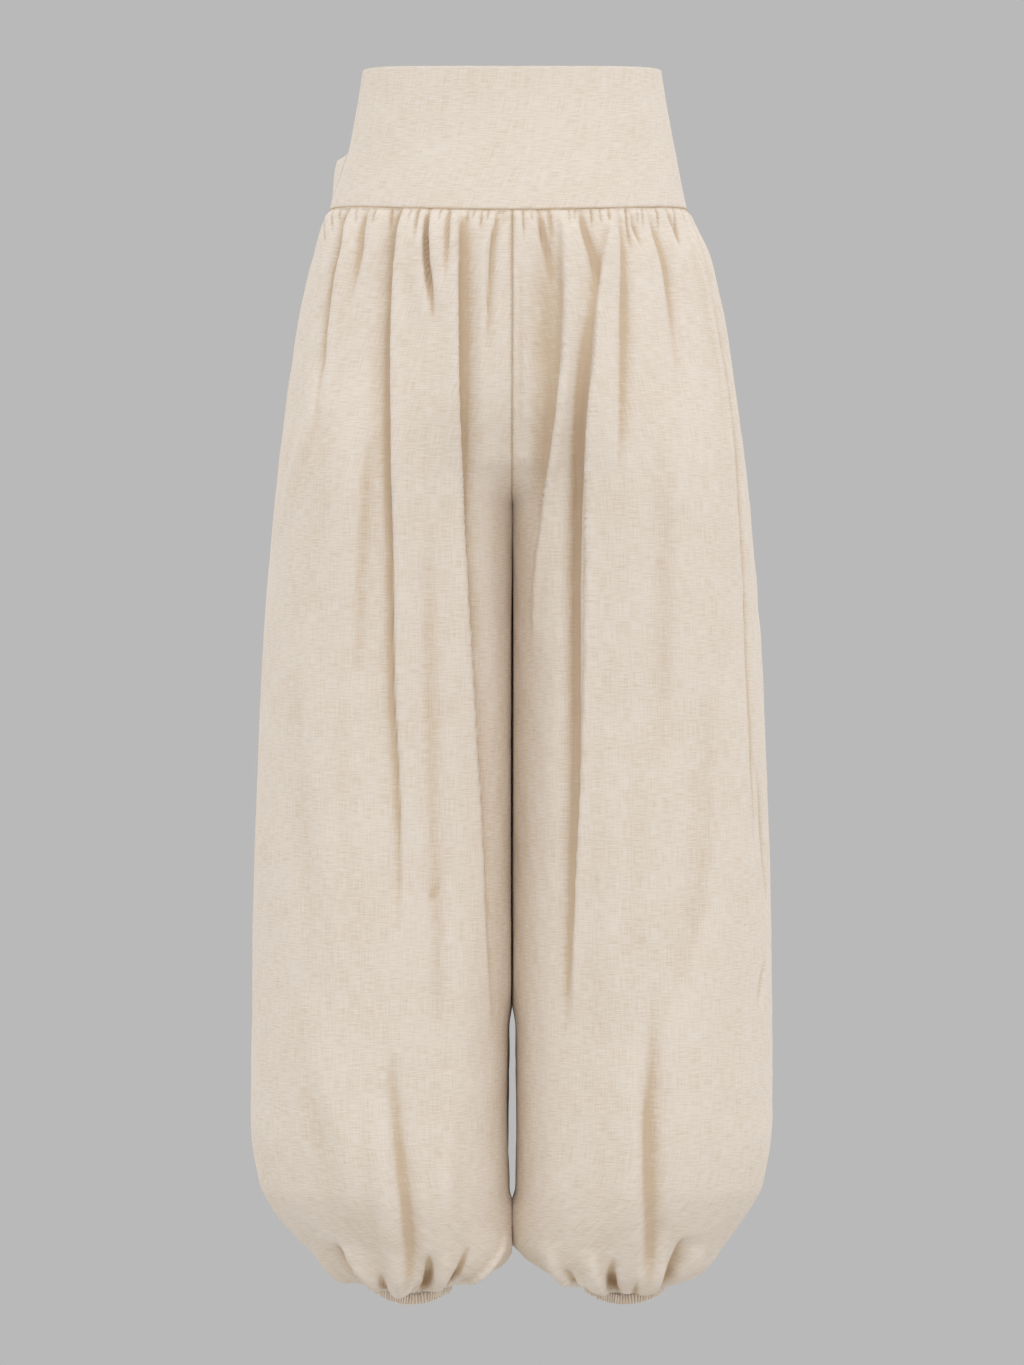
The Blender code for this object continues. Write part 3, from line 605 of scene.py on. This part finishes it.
def makeLeg(side, isFront, seed):
    form = legForm(side, isFront)
    lift = yokeLift(form, side, isFront, seed) + hemLift(form, seed + 1)
    folds = frontFolds[side] + hemFolds[side] if isFront else backFolds[side]
    for fold in folds:
        lift += downFold(form, *fold)
    if isFront:
        for fold in frontCreases[side]:
            lift += levelFold(form, *fold)
    arc = form["arc"]
    nearSeam = np.minimum(arc, arc[:, -1:] - arc)
    lift *= smooth(0.0, legCloth["seamFlat"], nearSeam)
    lift *= smooth(-1.5, 4.0, form["drops"] - form["drops"][0])[:, None]
    above = (form["meridian"][-1] - form["meridian"])[:, None]
    lift *= np.where(lift > 0.0, smooth(2.0, 30.0, above), smooth(-1.0, 9.0, above))

    # Painted shade: this amount tints the cloth warmer and darker in fold hollows, along the seams, under the yoke seam
    # and on the legs' inner sides, where shade falls.
    hollowShade = 0.0 * lift
    for reach, depth, weight in hollowShadeTone["reaches"]:
        hollowShade += weight * np.clip((softened(lift, arc, reach) - lift) / depth, 0.0, 1.0)
    inner = smooth(2.3, 3.0, form["turn"]) * smooth(320.0, 380.0, form["drops"])[:, None]
    atSeam = np.exp(-((nearSeam / legCloth["ditch"][1]) ** 2))
    hollowShade += hollowShadeTone["inner"] * inner + hollowShadeTone["seam"] * atSeam
    share, reach = hollowShadeTone["yoke"]
    hollowShade += share * np.exp(-(((form["drops"] - form["drops"][0]) / reach) ** 2))[:, None]
    # Painted shadow: narrow slits and the gap between the legs get a dark brown.
    reach, depth, over, most = hollowShadeTone["slit"]
    slit = np.clip((softened(lift, arc, reach) - lift - depth) / over, 0.0, 1.0)
    hemMost, low, high = hollowShadeTone["hemSlit"]
    most = most + (hemMost - most) * (1.0 - smooth(low, high, above))
    between = smooth(2.98, 3.1, form["turn"]) * smooth(362.0, 400.0, form["drops"])[:, None]
    hollowShade = np.clip(hollowShade, 0.0, 1.0) + np.maximum(most * slit, between)
    crumple = crumpleLift(form, seed + 2) * smooth(0.0, legCloth["seamFlat"], nearSeam)
    lift += crumple * smooth(0.0, 20.0, form["drops"] - form["drops"][0])[:, None]
    lift -= legCloth["ditch"][0] * atSeam
    near = softened(lift, arc, 9.0)

    slope = np.gradient(lift, axis=1) / np.gradient(arc, axis=1)
    lean = -legCloth["lean"] * np.clip(lift - near, -4.0, 4.0) * np.tanh(1.5 * slope)
    lean *= smooth(1.0, legCloth["seamFlat"], nearSeam)
    points = form["points"] + form["normals"] * lift[..., None] - form["along"] * lean[..., None]
    across = form["fromSide"] * (1.0 if side == "left" else -1.0)
    uv = np.stack([across, form["meridian"][:, None] + 0.0 * arc], axis=2)

    inside = points - form["normals"] * legCloth["wall"]
    for face in (points, inside):
        pressedTogether(form, side, face)
        closeSeams(form, side, isFront, face)
    points, inside, uv, hollowShade = addAllowances(form, side, isFront, points, inside, uv, hollowShade)
    name = f"{side}Leg{'Front' if isFront else 'Back'}"
    return shellBetween(name, points, inside, uv, hollowShade, (side == "left") != isFront)


def addAllowances(form, side, isFront, points, inside, uv, hollowShade):
    # Seam allowances inside the garment, which close the view through each seam. The back panels
    # carry those of the side seams and inseams, and the right ones those of the centre seams.
    deep = legCloth["allowanceDepth"]
    drops = form["drops"]
    atCentre = drops < cut["crotchDrop"]
    carries = np.where(atCentre, side == "right", not isFront)
    fade = smooth(0.0, 10.0, np.abs(drops - cut["crotchDrop"])) * carries
    strips = {"middle": [], "side": []}
    for reach in legCloth["allowance"]:
        for where, column, direction, share in (
            ("middle", 0, 1.0, fade),
            ("side", -1, -1.0, np.full(len(drops), 0.0 if isFront else 1.0)),
        ):
            along, normal = form["along"][:, column], form["normals"][:, column]
            step = direction * along * (reach * share)[:, None] - normal * (deep * share)[:, None]
            strips[where].append((points[:, column] + step, inside[:, column] + step, reach * share))
    def joined(first, grid, last):
        return np.concatenate([np.stack(first, axis=1), grid, np.stack(last, axis=1)], axis=1)
    middle, outer = strips["middle"][::-1], strips["side"]
    sign = 1.0 if side == "left" else -1.0
    uvMiddle = [uv[:, 0] + np.stack([sign * reach, 0.0 * reach], axis=1) for _, _, reach in middle]
    uvOuter = [uv[:, -1] - np.stack([sign * reach, 0.0 * reach], axis=1) for _, _, reach in outer]
    return (
        joined([p for p, _, _ in middle], points, [p for p, _, _ in outer]),
        joined([q for _, q, _ in middle], inside, [q for _, q, _ in outer]),
        joined(uvMiddle, uv, uvOuter),
        joined([hollowShade[:, 0]] * len(middle), hollowShade, [hollowShade[:, -1]] * len(outer)),
    )


# Waistband. The sections repeat the part's own.
bandSections = (
    # drop, side, front, back, dip
    (0.0, 122.4, 88.0, 92.0, 6.0),
    (23.0, 126.0, 89.5, 94.5, 6.5),
    (48.0, 130.5, 93.0, 99.0, 7.0),
    (72.0, 135.0, 98.0, 105.0, 7.7),
    (95.0, 139.5, 103.5, 111.5, 8.4),
    (114.0, 143.5, 108.0, 117.0, 9.0),
)

waistband = {
    "rows": 58,
    "columns": 170,
    "wall": 1.8,
    "puff": {"drop": 71.5, "above": 6.5, "below": 57.0, "turn": 0.27, "spread": 0.17, "height": 13.0},
    "ripple": 0.45,
    "edgeRound": 0.7,
}


def bandSurface(isFront, drops, angle):
    # A waistband piece, from the right side seam, angle 0, to the left one at half a turn.
    side, front, back, dip = smoothTable(bandSections, drops).T[:, :, None]
    turn = np.minimum(angle, math.pi - angle)
    rightSide = angle < math.pi / 2.0
    width = side + np.where(rightSide, swellAt(drops[:, None], turn), 0.0)
    if not isFront:
        puff = waistband["puff"]
        reach = np.where(drops < puff["drop"], puff["above"], puff["below"])
        rise = 1.0 - smooth(0.0, 1.0, np.abs(drops - puff["drop"]) / reach)
        shape = np.exp(-(((turn - puff["turn"]) / puff["spread"]) ** 2))
        width = width + np.where(rightSide, puff["height"] * rise[:, None] * shape, 0.0)
    y = (front if isFront else back) * np.sin(angle)
    sag = dip * np.sin(turn) ** 2 * (1.0 if isFront else -0.5)
    z = cut["waistDrop"] - drops[:, None] - sag
    return np.stack([-width * np.cos(angle), -y if isFront else y, z], axis=2)


def makeBand(isFront, seed):
    drops = np.linspace(0.0, cut["bandDepth"], waistband["rows"] + 1)
    angle = np.linspace(0.0, math.pi, waistband["columns"] + 1)[None, :] + 0.0 * drops[:, None]
    points = bandSurface(isFront, drops, angle)
    around = unit(bandSurface(isFront, drops, angle + 0.002) - bandSurface(isFront, drops, angle - 0.002))
    down = bandSurface(isFront, drops + 0.05, angle) - bandSurface(isFront, drops - 0.05, angle)
    normals = unit(np.cross(down, around)) * (1.0 if isFront else -1.0)
    arc = lengthAlong(points)
    deep = drops[:, None] + 0.0 * arc
    lift = softNoise(seed, arc, deep, 45.0, 60.0) + 0.5 * softNoise(seed + 1, arc, deep, 14.0, 30.0)
    lift *= waistband["ripple"] * smooth(0.0, 6.0, np.minimum(arc, arc[:, -1:] - arc))
    points = points + normals * lift[..., None]
    inside = points - normals * waistband["wall"]
    for face in (points, inside):
        sign = -1.0 if isFront else 1.0
        face[..., 1] = sign * np.maximum(sign * face[..., 1], cut["seamGap"] / 2.0)
    uv = np.stack([arc, deep], axis=2)
    if not isFront:
        # Seam allowances behind the front piece close the view through the side seams.
        first, last = [], []
        taper = (0.05 + 0.95 * smooth(0.0, 9.0, drops))[:, None]
        for reach in legCloth["allowance"]:
            for strip, column, direction in ((first, 0, -1.0), (last, -1, 1.0)):
                step = direction * around[:, column] * reach * taper - normals[:, column] * 2.6 * taper
                strip.append((points[:, column] + step, inside[:, column] + step))
        first = first[::-1]
        points = np.concatenate([np.stack([p for p, _ in first], 1), points, np.stack([p for p, _ in last], 1)], 1)
        inside = np.concatenate([np.stack([q for _, q in first], 1), inside, np.stack([q for _, q in last], 1)], 1)
        pad = len(first)
        uv = np.concatenate([uv[:, :1]] * pad + [uv] + [uv[:, -1:]] * pad, axis=1)
    # Painted shade along the band's bottom edge at the yoke seam.
    share, reach = hollowShadeTone["yoke"]
    edgeShade = share * np.exp(-(((cut["bandDepth"] - drops) / reach) ** 2))
    hollowShade = edgeShade[:, None] + np.zeros(points.shape[:2])
    name = "waistbandFront" if isFront else "waistbandBack"
    piece = shellBetween(name, points, inside, uv, hollowShade, isFront)
    return piece


# Cuffs

cuff = {
    "across": 240,
    "rows": 8,
    "wall": 1.2,
    "ribs": 88,
    "ribLength": 9.8,
    "ribWidth": 1.9,
    "ribHeight": 2.6,
    "unevenness": 0.22,
}


def cuffSurface(side, drops, turn, out):
    centre = cut["cuffCentre"] + cut["cuffShift"][side]
    centre = -centre if side == "right" else centre
    x = centre + (cut["cuffHalfWidth"] + out) * np.cos(turn)
    y = (cut["cuffHalfDepth"] + out) * np.sin(turn)
    sag = cut["cuffDip"] * np.sin(turn) ** 2 * np.where(np.sin(turn) < 0.0, 1.0, -0.5)
    z = cut["waistDrop"] - drops - sag + cut["cuffRise"] * np.cos(turn) ** 2
    return np.stack(np.broadcast_arrays(x, y, z), axis=-1)


def makeCuff(side):
    # A plain closed band of casing, under the ribs.
    drops = np.linspace(cut["cuffDrop"], cut["cuffBottom"], cuff["rows"] + 1)[:, None]
    turn = np.linspace(0.0, 2.0 * math.pi, cuff["across"] + 1)[None, :]
    rounding = 0.5 * np.cos(math.pi * (drops - cut["cuffDrop"]) / (cut["cuffBottom"] - cut["cuffDrop"]) - math.pi / 2.0)
    points = cuffSurface(side, drops, turn, rounding - 0.6)
    inside = cuffSurface(side, drops, turn, rounding - 0.6 - cuff["wall"])
    uv = np.stack([turn * 30.0 + 0.0 * drops, drops + 0.0 * turn], axis=2)
    # A fixed share of painted shade over the whole casing.
    hollowShade = np.full(points.shape[:2], 0.6)
    return shellBetween(f"{side}Cuff", points, inside, uv, hollowShade, False)


# What repeats along a path: one small rounded piece at each vertex of a row

def rowTree():
    # Geometry Nodes: a stretched ball at each vertex, turned to its row, with uneven sizes.
    tree = bpy.data.node_groups.new("roundedRow", "GeometryNodeTree")
    face = tree.interface
    face.new_socket("Row", in_out="INPUT", socket_type="NodeSocketGeometry")
    inputs = {}
    for label, kind, value in (
        ("Length", "NodeSocketFloat", 0.002),
        ("Width", "NodeSocketFloat", 0.0006),
        ("Height", "NodeSocketFloat", 0.0006),
        ("Unevenness", "NodeSocketFloat", 0.1),
        ("Seed", "NodeSocketInt", 1),
        ("Material", "NodeSocketMaterial", None),
    ):
        socket = face.new_socket(label, in_out="INPUT", socket_type=kind)
        if value is not None:
            socket.default_value = value
        inputs[label] = socket.identifier
    face.new_socket("Pieces", in_out="OUTPUT", socket_type="NodeSocketGeometry")
    nodes, links = tree.nodes, tree.links
    start = nodes.new("NodeGroupInput")
    end = nodes.new("NodeGroupOutput")
    ball = nodes.new("GeometryNodeMeshUVSphere")
    ball.inputs["Segments"].default_value = 8
    ball.inputs["Rings"].default_value = 6
    ball.inputs["Radius"].default_value = 0.5
    size = nodes.new("ShaderNodeCombineXYZ")
    links.new(start.outputs["Width"], size.inputs["X"])
    links.new(start.outputs["Height"], size.inputs["Y"])
    links.new(start.outputs["Length"], size.inputs["Z"])
    shape = nodes.new("GeometryNodeTransform")
    links.new(ball.outputs["Mesh"], shape.inputs["Geometry"])
    links.new(size.outputs[0], shape.inputs["Scale"])
    turned = None
    for attribute, axis in (("along", "Z"), ("outward", "Y")):
        read = nodes.new("GeometryNodeInputNamedAttribute")
        read.data_type = "FLOAT_VECTOR"
        read.inputs["Name"].default_value = attribute
        turn = nodes.new("FunctionNodeAlignRotationToVector")
        turn.axis = axis
        links.new(read.outputs["Attribute"], turn.inputs["Vector"])
        if turned is not None:
            turn.pivot_axis = "Z"
            links.new(turned.outputs["Rotation"], turn.inputs["Rotation"])
        turned = turn
    uneven = nodes.new("FunctionNodeRandomValue")
    uneven.data_type = "FLOAT_VECTOR"
    low = nodes.new("ShaderNodeMath")
    low.operation = "SUBTRACT"
    low.inputs[0].default_value = 1.0
    high = nodes.new("ShaderNodeMath")
    high.operation = "ADD"
    high.inputs[0].default_value = 1.0
    links.new(start.outputs["Unevenness"], low.inputs[1])
    links.new(start.outputs["Unevenness"], high.inputs[1])
    links.new(low.outputs[0], uneven.inputs["Min"])
    links.new(high.outputs[0], uneven.inputs["Max"])
    links.new(start.outputs["Seed"], uneven.inputs["Seed"])
    place = nodes.new("GeometryNodeInstanceOnPoints")
    links.new(start.outputs["Row"], place.inputs["Points"])
    links.new(shape.outputs["Geometry"], place.inputs["Instance"])
    links.new(turned.outputs["Rotation"], place.inputs["Rotation"])
    links.new(uneven.outputs["Value"], place.inputs["Scale"])
    real = nodes.new("GeometryNodeRealizeInstances")
    links.new(place.outputs["Instances"], real.inputs["Geometry"])
    rounded = nodes.new("GeometryNodeSetShadeSmooth")
    links.new(real.outputs["Geometry"], rounded.inputs["Geometry"])
    dress = nodes.new("GeometryNodeSetMaterial")
    links.new(rounded.outputs["Geometry"], dress.inputs["Geometry"])
    links.new(start.outputs["Material"], dress.inputs["Material"])
    links.new(dress.outputs["Geometry"], end.inputs["Pieces"])
    return tree, inputs


def makeRow(name, places, along, outward, sizes, material):
    # Runs the node tree over a row of places and keeps its result as a plain mesh.
    tree, inputs = rowTree()
    row = bpy.data.meshes.new(name)
    row.from_pydata((places * mm).tolist(), [], [])
    for label, vectors in (("along", along), ("outward", outward)):
        attribute = row.attributes.new(label, "FLOAT_VECTOR", "POINT")
        attribute.data.foreach_set("vector", np.ascontiguousarray(vectors, float).ravel())
    piece = bpy.data.objects.new(name, row)
    bpy.context.scene.collection.objects.link(piece)
    modifier = piece.modifiers.new("row", "NODES")
    modifier.node_group = tree
    for label, value in sizes.items():
        modifier[inputs[label]] = value
    modifier[inputs["Material"]] = material
    graph = bpy.context.evaluated_depsgraph_get()
    made = bpy.data.meshes.new_from_object(piece.evaluated_get(graph))
    made.name = name
    piece.modifiers.remove(modifier)
    piece.data = made
    return piece


def makeRibs(side, material, seed):
    # The casing's cloth, drawn up by the elastic into short ribs round the cuff.
    middle = (cut["cuffDrop"] + cut["cuffBottom"]) / 2.0
    turn = np.linspace(0.0, 2.0 * math.pi, cuff["ribs"] + 1)[:-1]
    turn = turn + 0.12 * np.sin(5.0 * turn) / 5.0
    places = cuffSurface(side, np.full_like(turn, middle), turn, 0.1)
    outward = np.stack([np.cos(turn), np.sin(turn), 0.0 * turn], axis=1)
    tilt = 0.16 * np.sin(9.0 * turn + 1.3 * seed)[:, None]
    sideways = np.stack([-np.sin(turn), np.cos(turn), 0.0 * turn], axis=1)
    along = unit(np.array([0.0, 0.0, 1.0]) + tilt * sideways)
    sizes = {
        "Length": cuff["ribLength"] * mm,
        "Width": cuff["ribWidth"] * mm,
        "Height": cuff["ribHeight"] * mm,
        "Unevenness": cuff["unevenness"],
        "Seed": seed,
    }
    return makeRow(f"{side}CuffRibs", places, along, outward, sizes, material)


stitch = {"length": 1.7, "gap": 0.8, "thread": 0.7, "depth": 0.1}


def makeYokeStitches(isFront, material, seed):
    # One line of stitches in the seam between the waistband and the gathered legs.
    drop = cut["bandDepth"] + cut["seamGap"] / 2.0
    angle = np.linspace(0.0, math.pi, 2001)[None, :]
    line = bandSurface(isFront, np.array([drop]), angle)
    arc = lengthAlong(line)[0]
    count = int(arc[-1] / (stitch["length"] + stitch["gap"]))
    at = np.interp((np.arange(count) + 0.5) * arc[-1] / count, arc, angle[0])[None, :]
    places = bandSurface(isFront, np.array([drop]), at)[0]
    along = unit(bandSurface(isFront, np.array([drop]), at + 0.002)[0] - places)
    outward = unit(places * np.array([1.0, 1.0, 0.0]))
    places = places - outward * stitch["depth"]
    sizes = {
        "Length": stitch["length"] * mm,
        "Width": stitch["thread"] * mm,
        "Height": stitch["thread"] * mm,
        "Unevenness": 0.12,
        "Seed": seed,
    }
    name = f"yokeStitches{'Front' if isFront else 'Back'}"
    return makeRow(name, places, along, outward, sizes, material)


# Materials

linen = {
    # The warm colour is the thinner threads' tone and also painted shade in hollows; the slit colour is a painted dark
    # shadow for narrow slits and the gap between the legs.
    "light": (0.81, 0.735, 0.655),
    "darkThreadAndShade": (0.64, 0.505, 0.365),
    "slit": (0.4, 0.25, 0.13),
    "fleck": (0.42, 0.33, 0.23),
    "roughness": 0.92,
    "sheen": 0.1,
}

thread = {"colour": (0.62, 0.47, 0.33), "roughness": 0.9}


def linenMaterial(name, follows):
    # Undyed plain weave. It follows the cloth's own lengths, or the object's place on small pieces.
    material = bpy.data.materials.new(name)
    material.use_nodes = True
    nodes, links = material.node_tree.nodes, material.node_tree.links
    shader = nodes["Principled BSDF"]
    shader.inputs["Roughness"].default_value = linen["roughness"]
    shader.inputs["Sheen Weight"].default_value = linen["sheen"]
    shader.inputs["Sheen Roughness"].default_value = 0.6
    shader.inputs["Specular IOR Level"].default_value = 0.2
    if follows == "cloth":
        place = nodes.new("ShaderNodeUVMap")
        place.uv_map = "clothUv"
        place = place.outputs["UV"]
    else:
        place = nodes.new("ShaderNodeTexCoord").outputs["Object"]

    def threads(across, down, detail):
        # Uneven streaks, with the length across and the height down given in millimetres.
        mapping = nodes.new("ShaderNodeMapping")
        mapping.inputs["Scale"].default_value = (1000.0 / across, 1000.0 / down, 1000.0 / across)
        noise = nodes.new("ShaderNodeTexNoise")
        noise.inputs["Scale"].default_value = 1.0
        noise.inputs["Detail"].default_value = detail
        links.new(place, mapping.inputs["Vector"])
        links.new(mapping.outputs["Vector"], noise.inputs["Vector"])
        return noise.outputs["Fac"]

    def blend(kind, first, second, clampValue=False):
        node = nodes.new("ShaderNodeMath")
        node.operation = kind
        node.use_clamp = clampValue
        for socket, value in zip(node.inputs, (first, second)):
            if isinstance(value, float):
                socket.default_value = value
            else:
                links.new(value, socket)
        return node.outputs[0]

    def mixed(factor, first, second):
        node = nodes.new("ShaderNodeMix")
        node.data_type = "RGBA"
        colours = [socket for socket in node.inputs if socket.type == "RGBA"]
        links.new(factor, node.inputs[0])
        for socket, value in zip(colours, (first, second)):
            if isinstance(value, tuple):
                socket.default_value = (*value, 1.0)
            else:
                links.new(value, socket)
        return [socket for socket in node.outputs if socket.type == "RGBA"][0]

    weft = threads(11.0, 0.9, 3.0)
    warp = threads(0.9, 20.0, 3.0)
    cloud = threads(60.0, 45.0, 3.0)
    fleck = threads(2.6, 1.4, 1.0)
    tone = blend("ADD", blend("MULTIPLY", weft, 0.55), blend("MULTIPLY", warp, 0.35))
    tone = blend("ADD", tone, blend("MULTIPLY", cloud, 0.14))
    thin = blend("MULTIPLY", blend("SUBTRACT", 0.57, tone), 2.9)
    # Painted shade: the hollow attribute mixes the darker tone in where the cloth lies in shade.
    hollowShade = nodes.new("ShaderNodeAttribute")
    hollowShade.attribute_name = "hollowShade"
    deep = blend("ADD", thin, blend("MULTIPLY", hollowShade.outputs["Fac"], 0.9), True)
    colour = mixed(deep, linen["light"], linen["darkThreadAndShade"])
    # Painted shadow: above a full share, the attribute mixes in the dark slit brown.
    slitShadow = blend("MULTIPLY", blend("SUBTRACT", hollowShade.outputs["Fac"], 1.0), 0.85, True)
    colour = mixed(slitShadow, colour, linen["slit"])
    spots = blend("MULTIPLY", blend("SUBTRACT", fleck, 0.78), 6.0, True)
    colour = mixed(spots, colour, linen["fleck"])
    links.new(colour, shader.inputs["Base Color"])
    height = blend("ADD", blend("MULTIPLY", weft, 0.35), blend("MULTIPLY", warp, 0.25))
    height = blend("ADD", height, blend("MULTIPLY", threads(7.0, 9.0, 3.0), 1.4))
    bump = nodes.new("ShaderNodeBump")
    bump.inputs["Strength"].default_value = 0.75
    bump.inputs["Distance"].default_value = 0.5 * mm
    links.new(height, bump.inputs["Height"])
    links.new(bump.outputs["Normal"], shader.inputs["Normal"])
    return material


def threadMaterial():
    material = bpy.data.materials.new("seamThread")
    material.use_nodes = True
    nodes, links = material.node_tree.nodes, material.node_tree.links
    shader = nodes["Principled BSDF"]
    shader.inputs["Roughness"].default_value = thread["roughness"]
    twist = nodes.new("ShaderNodeTexNoise")
    twist.inputs["Scale"].default_value = 2500.0
    place = nodes.new("ShaderNodeTexCoord")
    links.new(place.outputs["Object"], twist.inputs["Vector"])
    ramp = nodes.new("ShaderNodeValToRGB")
    ramp.color_ramp.elements[0].color = (*[0.75 * c for c in thread["colour"]], 1.0)
    ramp.color_ramp.elements[1].color = (*[1.25 * c for c in thread["colour"]], 1.0)
    links.new(twist.outputs["Fac"], ramp.inputs["Fac"])
    links.new(ramp.outputs["Color"], shader.inputs["Base Color"])
    return material


def finishPiece(piece, nodeName):
    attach(piece, "root")
    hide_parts(nodeName)


cloth = linenMaterial("undyedLinen", "cloth")
ribCloth = linenMaterial("undyedLinenRibs", "place")
seamThread = threadMaterial()


def smallPiece(piece):
    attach(piece, "root")
    return piece


print("waistband")
for isFront, node, width in ((True, "band_front", 0.36), (False, "band_back", 0.38)):
    stitches = smallPiece(makeYokeStitches(isFront, seamThread, 7))
    band = makeBand(isFront, 21 if isFront else 31)
    band.data.materials.append(cloth)
    finishPiece(band, node)
print("legs")
seed = 100
for side in ("right", "left"):
    for isFront in (True, False):
        where = "front" if isFront else "back"
        leg = makeLeg(side, isFront, seed)
        leg.data.materials.append(cloth)
        band = f"band_{where}"
        finishPiece(leg, f"{side}_leg_{where}")
        seed += 10
print("cuffs")
for side in ("right", "left"):
    ribs = smallPiece(makeRibs(side, ribCloth, 3 if side == "right" else 4))
    ring = makeCuff(side)
    ring.data.materials.append(cloth)
    finishPiece(ring, f"{side}_cuff")


# Studio

studio = {
    "grey": 0.485,
    "skyLight": 1.08,
    "floorLight": 0.62,
    "floorTint": (1.0, 0.97, 0.92),
    "floorDrop": 1145.0,
    "cameraDistance": 4.2,
    "frameHeight": 1.1193,
    "aimDrop": 501.0,
    # name, place, size, energy
    "lights": (
        ("keyLight", (1.8, -3.4, 0.9), 1.6, 14.0),
        ("fillLight", (-1.8, -3.2, -0.2), 2.2, 2.0),
        ("backLight", (0.4, 3.6, 0.8), 2.4, 12.0),
    ),
}


def seenOnlyAs(tree, first, second):
    # Picks the first shader for what the camera sees and the second for what lights the cloth.
    path = tree.nodes.new("ShaderNodeLightPath")
    mix = tree.nodes.new("ShaderNodeMixShader")
    tree.links.new(path.outputs["Is Camera Ray"], mix.inputs[0])
    tree.links.new(second.outputs[0], mix.inputs[1])
    tree.links.new(first.outputs[0], mix.inputs[2])
    return mix


def makeStudio():
    scene = bpy.context.scene
    scene.view_settings.view_transform = "Standard"
    grey = (1.0, 1.0, 1.0, 1.0)
    world = bpy.data.worlds.new("paleRoom")
    world.use_nodes = True
    nodes, links = world.node_tree.nodes, world.node_tree.links
    seen = nodes["Background"]
    lighting = nodes.new("ShaderNodeBackground")
    for shader, strength in ((seen, studio["grey"]), (lighting, studio["skyLight"])):
        shader.inputs["Color"].default_value = grey
        shader.inputs["Strength"].default_value = strength
    links.new(seenOnlyAs(world.node_tree, seen, lighting).outputs[0], nodes["World Output"].inputs["Surface"])
    scene.world = world

    z = (cut["waistDrop"] - studio["floorDrop"]) * mm
    reach = 30.0
    corners = [(-reach, -reach, z), (reach, -reach, z), (reach, reach, z), (-reach, reach, z)]
    floorMesh = bpy.data.meshes.new("floor")
    floorMesh.from_pydata(corners, [], [(0, 1, 2, 3)])
    floor = bpy.data.objects.new("floor", floorMesh)
    scene.collection.objects.link(floor)
    paint = bpy.data.materials.new("paleFloor")
    paint.use_nodes = True
    nodes, links = paint.node_tree.nodes, paint.node_tree.links
    glows = []
    for tint, strength in ((grey, studio["grey"]), ((*studio["floorTint"], 1.0), studio["floorLight"])):
        glow = nodes.new("ShaderNodeEmission")
        glow.inputs["Color"].default_value = tint
        glow.inputs["Strength"].default_value = strength
        glows.append(glow)
    mix = seenOnlyAs(paint.node_tree, *glows)
    links.new(mix.outputs[0], nodes["Material Output"].inputs["Surface"])
    floorMesh.materials.append(paint)

    aim = Vector((0.0, 0.0, (cut["waistDrop"] - studio["aimDrop"]) * mm))
    for name, place, size, energy in studio["lights"]:
        data = bpy.data.lights.new(name, "AREA")
        data.energy = energy
        data.size = size
        light = bpy.data.objects.new(name, data)
        scene.collection.objects.link(light)
        light.location = place
        light.rotation_euler = (aim - Vector(place)).to_track_quat("-Z", "Y").to_euler()
    lens = bpy.data.cameras.new("camera")
    lens.sensor_width = 36.0
    lens.lens = 36.0 * studio["cameraDistance"] / studio["frameHeight"]
    camera = bpy.data.objects.new("camera", lens)
    scene.collection.objects.link(camera)
    camera.location = aim - Vector((0.0, studio["cameraDistance"], 0.0))
    camera.rotation_euler = (math.radians(90.0), 0.0, 0.0)
    scene.camera = camera


print("studio")
makeStudio()
